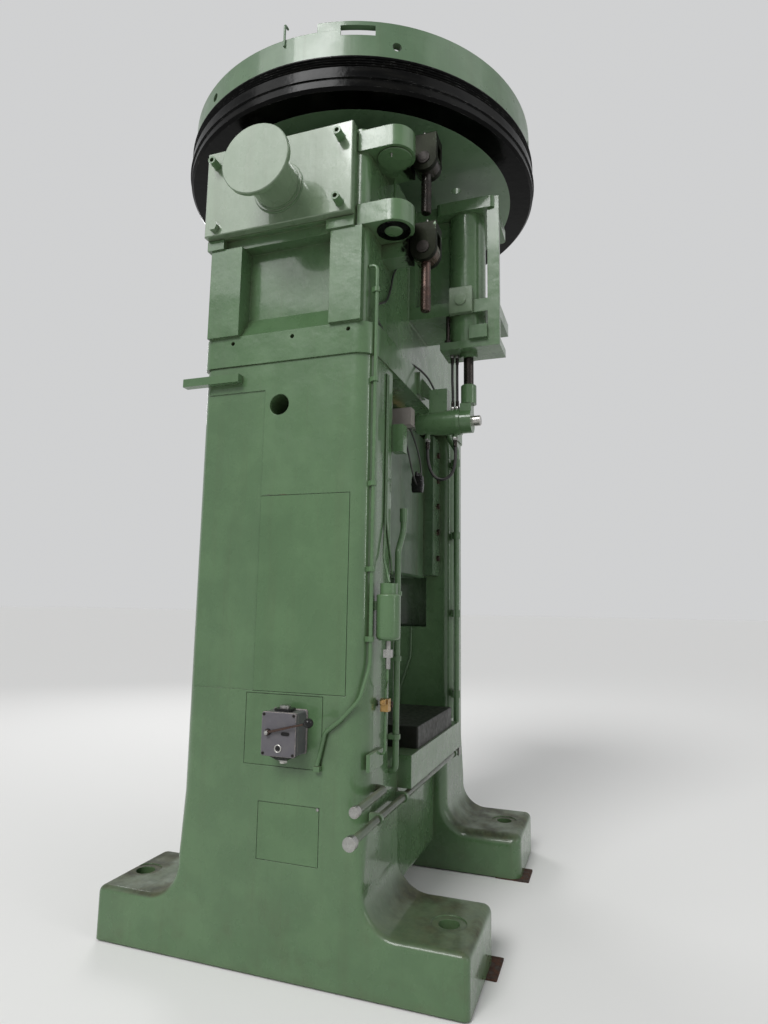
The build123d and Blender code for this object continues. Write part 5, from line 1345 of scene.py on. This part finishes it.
@dataclass
class FrontPipe:
    """Thin bent pipe from the crown's face down to the lower lug, and the upper ear's plug."""

    radius: float = 0.007
    bend: float = 0.03
    inward: Point = (-0.35, 0.94, 0.0)
    sunk: float = 0.002
    top: Point = (-0.675, -0.44, 3.738)
    low_z: float = 3.389
    face_y: float = -0.4
    ear: Point = (-0.861, -0.501, 3.672)
    plug: float = 0.0835

    def make(self) -> None:
        """Makes the pipe, a circle carried along a line, a quarter arc and a line, and the plug."""
        corner = np.array(self.top)
        angle = np.linspace(0.0, 0.5 * np.pi, 13)[:, None]
        inward, down = np.array(self.inward), np.array(DOWN)
        arc = corner + self.bend * (inward * (1.0 - np.sin(angle)) + down * (1.0 - np.cos(angle)))
        reach = (self.face_y - self.top[1] + self.sunk) / inward[1]
        foot = (corner[0], corner[1], self.low_z)
        path = np.concatenate(([corner + reach * inward], arc, [foot]))
        ahead = np.gradient(path, axis=0)
        ahead /= np.linalg.norm(ahead, axis=1, keepdims=True)
        side = np.cross(inward, down)
        across = np.cross(ahead, side)
        unit = circle(20)
        section = unit[None, :, :1] * side + unit[None, :, 1:] * across[:, None, :]
        rings = path[:, None, :] + self.radius * section
        build("front_pipe", [skin(rings)], Finish.PIPE)
        wide = self.plug
        profile = ((0.0, 0.0), (wide, 0.0), (wide, 0.002), (wide - 0.002, 0.0042), (0.0, 0.0052))
        build("ear_plug", [turned(profile, self.ear, DOWN, 64)], Finish.CROWN)


@dataclass
class HoseEnds:
    """Crimped ferrules and union nuts where hoses meet the lock and the cylinder's foot."""

    lock_x: float = -0.2
    foot_z: float = 2.911
    seat_z: float = 2.6068
    loop_z: float = 2.452
    seated: float = 0.0003
    upper_starts: tuple[Pair, ...] = ((-0.212, -0.63), (-0.203, -0.655))
    lower_ends: tuple[float, ...] = (-0.63, -0.655)
    loop_ends: tuple[float, ...] = (-0.488, -0.643)
    upper_size: tuple[float, float, float, float] = (0.022, 0.016, 0.0094, 0.034)
    lower_size: tuple[float, float, float, float] = (0.022, 0.015, 0.0094, 0.032)
    loop_size: tuple[float, float, float, float] = (0.027, 0.017, 0.0116, 0.038)

    @staticmethod
    def ferrule(radius: float, length: float, place: Point, axis: Point) -> Shape:
        """Crimped sleeve: its radius dips by up to 12 % at grooves along its length."""
        level = np.linspace(0.0, length, 31)
        dip = 1.0 - 0.12 * np.clip(np.cos(2.0 * np.pi * 3.5 * level / length), 0.0, 1.0)
        wall = [(radius * d, z) for d, z in zip(dip.tolist(), level.tolist())]
        return turned([(0.0, 0.0), *wall, (0.0, length)], place, axis, 32)

    def end(
        self, spot: Pair, levels: Pair, axis: Point, size: Sequence[float]
    ) -> tuple[Shape, Shape]:
        """Nut and ferrule of one hose end.

        Args:
            spot: Its X and Y.
            levels: Heights of the nut's and the ferrule's foot.
            axis: Direction along the hose.
            size: Nut across flats, nut height, ferrule radius and ferrule length.

        Returns:
            The two surfaces.
        """
        across, height, radius, length = size
        sleeve = self.ferrule(radius, length, (*spot, levels[1]), axis)
        return nut(across, height, (*spot, levels[0]), axis), sleeve

    def make(self) -> None:
        """Makes the nuts and ferrules."""
        levels = (self.foot_z - self.seated, self.foot_z - 0.016)
        pairs = [self.end(spot, levels, DOWN, self.upper_size) for spot in self.upper_starts]
        levels = (self.seat_z - 0.002, self.seat_z + 0.013)
        pairs += [self.end((self.lock_x, y), levels, UP, self.lower_size) for y in self.lower_ends]
        levels = (self.loop_z - self.seated, self.loop_z - 0.017)
        pairs += [self.end((self.lock_x, y), levels, DOWN, self.loop_size) for y in self.loop_ends]
        nuts, ferrules = zip(*pairs)
        build("hose_nuts", nuts, Finish.ZINC)
        build("hose_ferrules", ferrules, Finish.GREASY)


@dataclass
class SmallFasteners:
    """The screw of the cover and the grease nipples of the ear and the bolts' lugs."""

    cover_screw: Point = (-0.9497, -0.231, 0.692)
    screw_size: Pair = (0.0065, 0.003)
    ear: Point = (-0.908, -0.5, 3.6672)
    lugs: tuple[Point, ...] = ((-0.735, -0.612, 3.8598), (-0.735, -0.63, 3.3888))

    @staticmethod
    def nipple(place: Point, axis: Point) -> Shape:
        """Grease nipple: a round foot, a neck and a ball end, turned as one profile."""
        foot = ((0.0, 0.0), (0.0055, 0.0), (0.0055, 0.005))
        neck = ((0.0032, 0.0062), (0.0028, 0.01))
        ball = ((0.0036, 0.012), (0.0036, 0.0145), (0.002, 0.017), (0.0, 0.0172))
        return turned((*foot, *neck, *ball), place, axis, 20)

    def make(self) -> None:
        """Makes the screw and the nipples."""
        heads = [screw(*self.screw_size, self.cover_screw, LEFT)]
        build("cover_screws", heads, Finish.ZINC)
        nipples = [self.nipple(self.ear, DOWN), *(self.nipple(place, UP) for place in self.lugs)]
        build("grease_nipples", nipples, Finish.BRIGHT)


@dataclass
class Studio:
    """Pale floor and world, soft lamps, and the camera at the photograph's place."""

    yaw: float = 0.33904714
    pitch: float = 0.14085097
    roll: float = 0.01589448
    eye: Point = (-3.603, -1.441, 1.544)
    lens: float = 23.147
    sensor: float = 36.0
    far: float = 200.0
    floor_size: float = 240.0
    floor_colour: Colour = (0.79, 0.785, 0.775)
    soft_light: tuple[Colour, float] = ((0.93, 0.95, 0.96), 0.34)
    backdrop: tuple[Colour, float] = ((0.63, 0.635, 0.64), 1.0)
    lamps: tuple[tuple[str, Point, Point, float, float, float], ...] = (
        ("key_panel", (-5.4, 2.9, 7.2), (-0.95, 0.0, 3.2), 3.2, 3.2, 90.0),
        ("corner_strip", (-2.5, -7.2, 3.4), (-0.95, -0.44, 2.2), 0.26, 4.2, 36.0),
        ("back_panel", (5.5, 5.0, 6.0), (0.0, 0.0, 2.5), 3.0, 3.0, 160.0),
    )
    suns: tuple[tuple[str, Point, float, float], ...] = (
        ("key_sun", (-7.0, 1.2, 6.4), 1.9, 0.42),
        ("front_sun", (-1.0, -7.0, 4.5), 0.28, 0.7),
    )

    def floor(self) -> None:
        """Makes the floor as one large sheet at the height of the press's base."""
        half = self.floor_size / 2
        mesh = bpy.data.meshes.new("studio_floor")
        spots = ((-half, -half), (half, -half), (half, half), (-half, half))
        mesh.from_pydata([(x, y, 0.0) for x, y in spots], [], [(0, 1, 2, 3)])
        matt = Graph("studio_floor").surface({"Base Color": self.floor_colour, "Roughness": 0.85})
        mesh.materials.append(matt)
        sheet = placed("studio_floor", mesh)

    def world(self) -> None:
        """Sets the world: soft light, and a pale backdrop for camera, mirror and glass rays."""
        world = bpy.data.worlds.new("studio_world")
        world.use_nodes = True
        bpy.context.scene.world = world
        tree = world.node_tree
        tree.nodes.clear()
        kinds = "OutputWorld Background Background LightPath Math Math MixShader"
        made = [tree.nodes.new(f"ShaderNode{kind}") for kind in kinds.split()]
        output, soft, seen, rays, first, second, mix = made
        for shader, (colour, strength) in ((soft, self.soft_light), (seen, self.backdrop)):
            shader.inputs["Color"].default_value = (*colour, 1.0)
            shader.inputs["Strength"].default_value = strength
        first.operation = second.operation = "MAXIMUM"
        links = (
            (rays.outputs["Is Camera Ray"], first.inputs[0]),
            (rays.outputs["Is Transmission Ray"], first.inputs[1]),
            (first.outputs[0], second.inputs[0]),
            (rays.outputs["Is Glossy Ray"], second.inputs[1]),
            (second.outputs[0], mix.inputs[0]),
            (soft.outputs[0], mix.inputs[1]),
            (seen.outputs[0], mix.inputs[2]),
            (mix.outputs[0], output.inputs[0]),
        )
        for source, target in links:
            tree.links.new(source, target)

    def light(self) -> None:
        """Hangs the panels and the two broad suns, each turned to its target."""
        rows = [("AREA", *lamp) for lamp in self.lamps]
        for name, place, power, spread in self.suns:
            rows.append(("SUN", name, place, (0.0, 0.0, 0.0), spread, 0.0, power))
        for kind, name, place, target, wide, high, power in rows:
            data = bpy.data.lights.new(name, kind)
            data.energy = power
            if kind == "AREA":
                data.shape = "RECTANGLE"
                data.size, data.size_y = wide, high
            else:
                data.angle = wide
            lamp = placed(name, data)
            across, up, back = basis(tuple(np.array(place) - np.array(target)))
            turn = Matrix(np.stack((across, up, back), axis=1).tolist()).to_4x4()
            lamp.matrix_world = Matrix.Translation(place) @ turn

    def camera(self) -> None:
        """Places the camera by its yaw, pitch and roll, with no shift and no blur."""
        level, rise = math.cos(self.pitch), math.sin(self.pitch)
        ahead = np.array((level * math.cos(self.yaw), level * math.sin(self.yaw), rise))
        right = np.array((math.sin(self.yaw), -math.cos(self.yaw), 0.0))
        up = np.cross(right, ahead)
        cos, sin = math.cos(self.roll), math.sin(self.roll)
        columns = np.stack((cos * right + sin * up, -sin * right + cos * up, -ahead), axis=1)
        data = bpy.data.cameras.new("camera")
        data.sensor_width = self.sensor
        data.lens = self.lens
        data.clip_end = self.far
        eye = placed("camera", data)
        eye.matrix_world = Matrix.Translation(self.eye) @ Matrix(columns.tolist()).to_4x4()
        bpy.context.scene.camera = eye

    def make(self) -> None:
        """Sets the whole studio up."""
        bpy.context.scene.view_settings.view_transform = "Standard"
        self.floor()
        self.world()
        self.light()
        self.camera()


def dress_nodes() -> None:
    """Gives each solid of the frame its finish."""
    for finish, nodes in NODE_FINISHES.items():
        for node in nodes.split():
            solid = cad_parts[node]
            for holder in solid.material_slots:
                holder.material = finish.material
            log.info("%s: %s", node, finish.value.name)


def main() -> None:
    """Builds the dressed press in order."""
    logging.basicConfig(level=logging.INFO, format="%(message)s")
    Studio().make()
    Cords().make()
    dress_nodes()
    SwitchBox().make()
    HangingBolts().make()
    Welds().make()
    FrontPipe().make()
    HoseEnds().make()
    SmallFasteners().make()


if __name__ == "__main__":
    main()
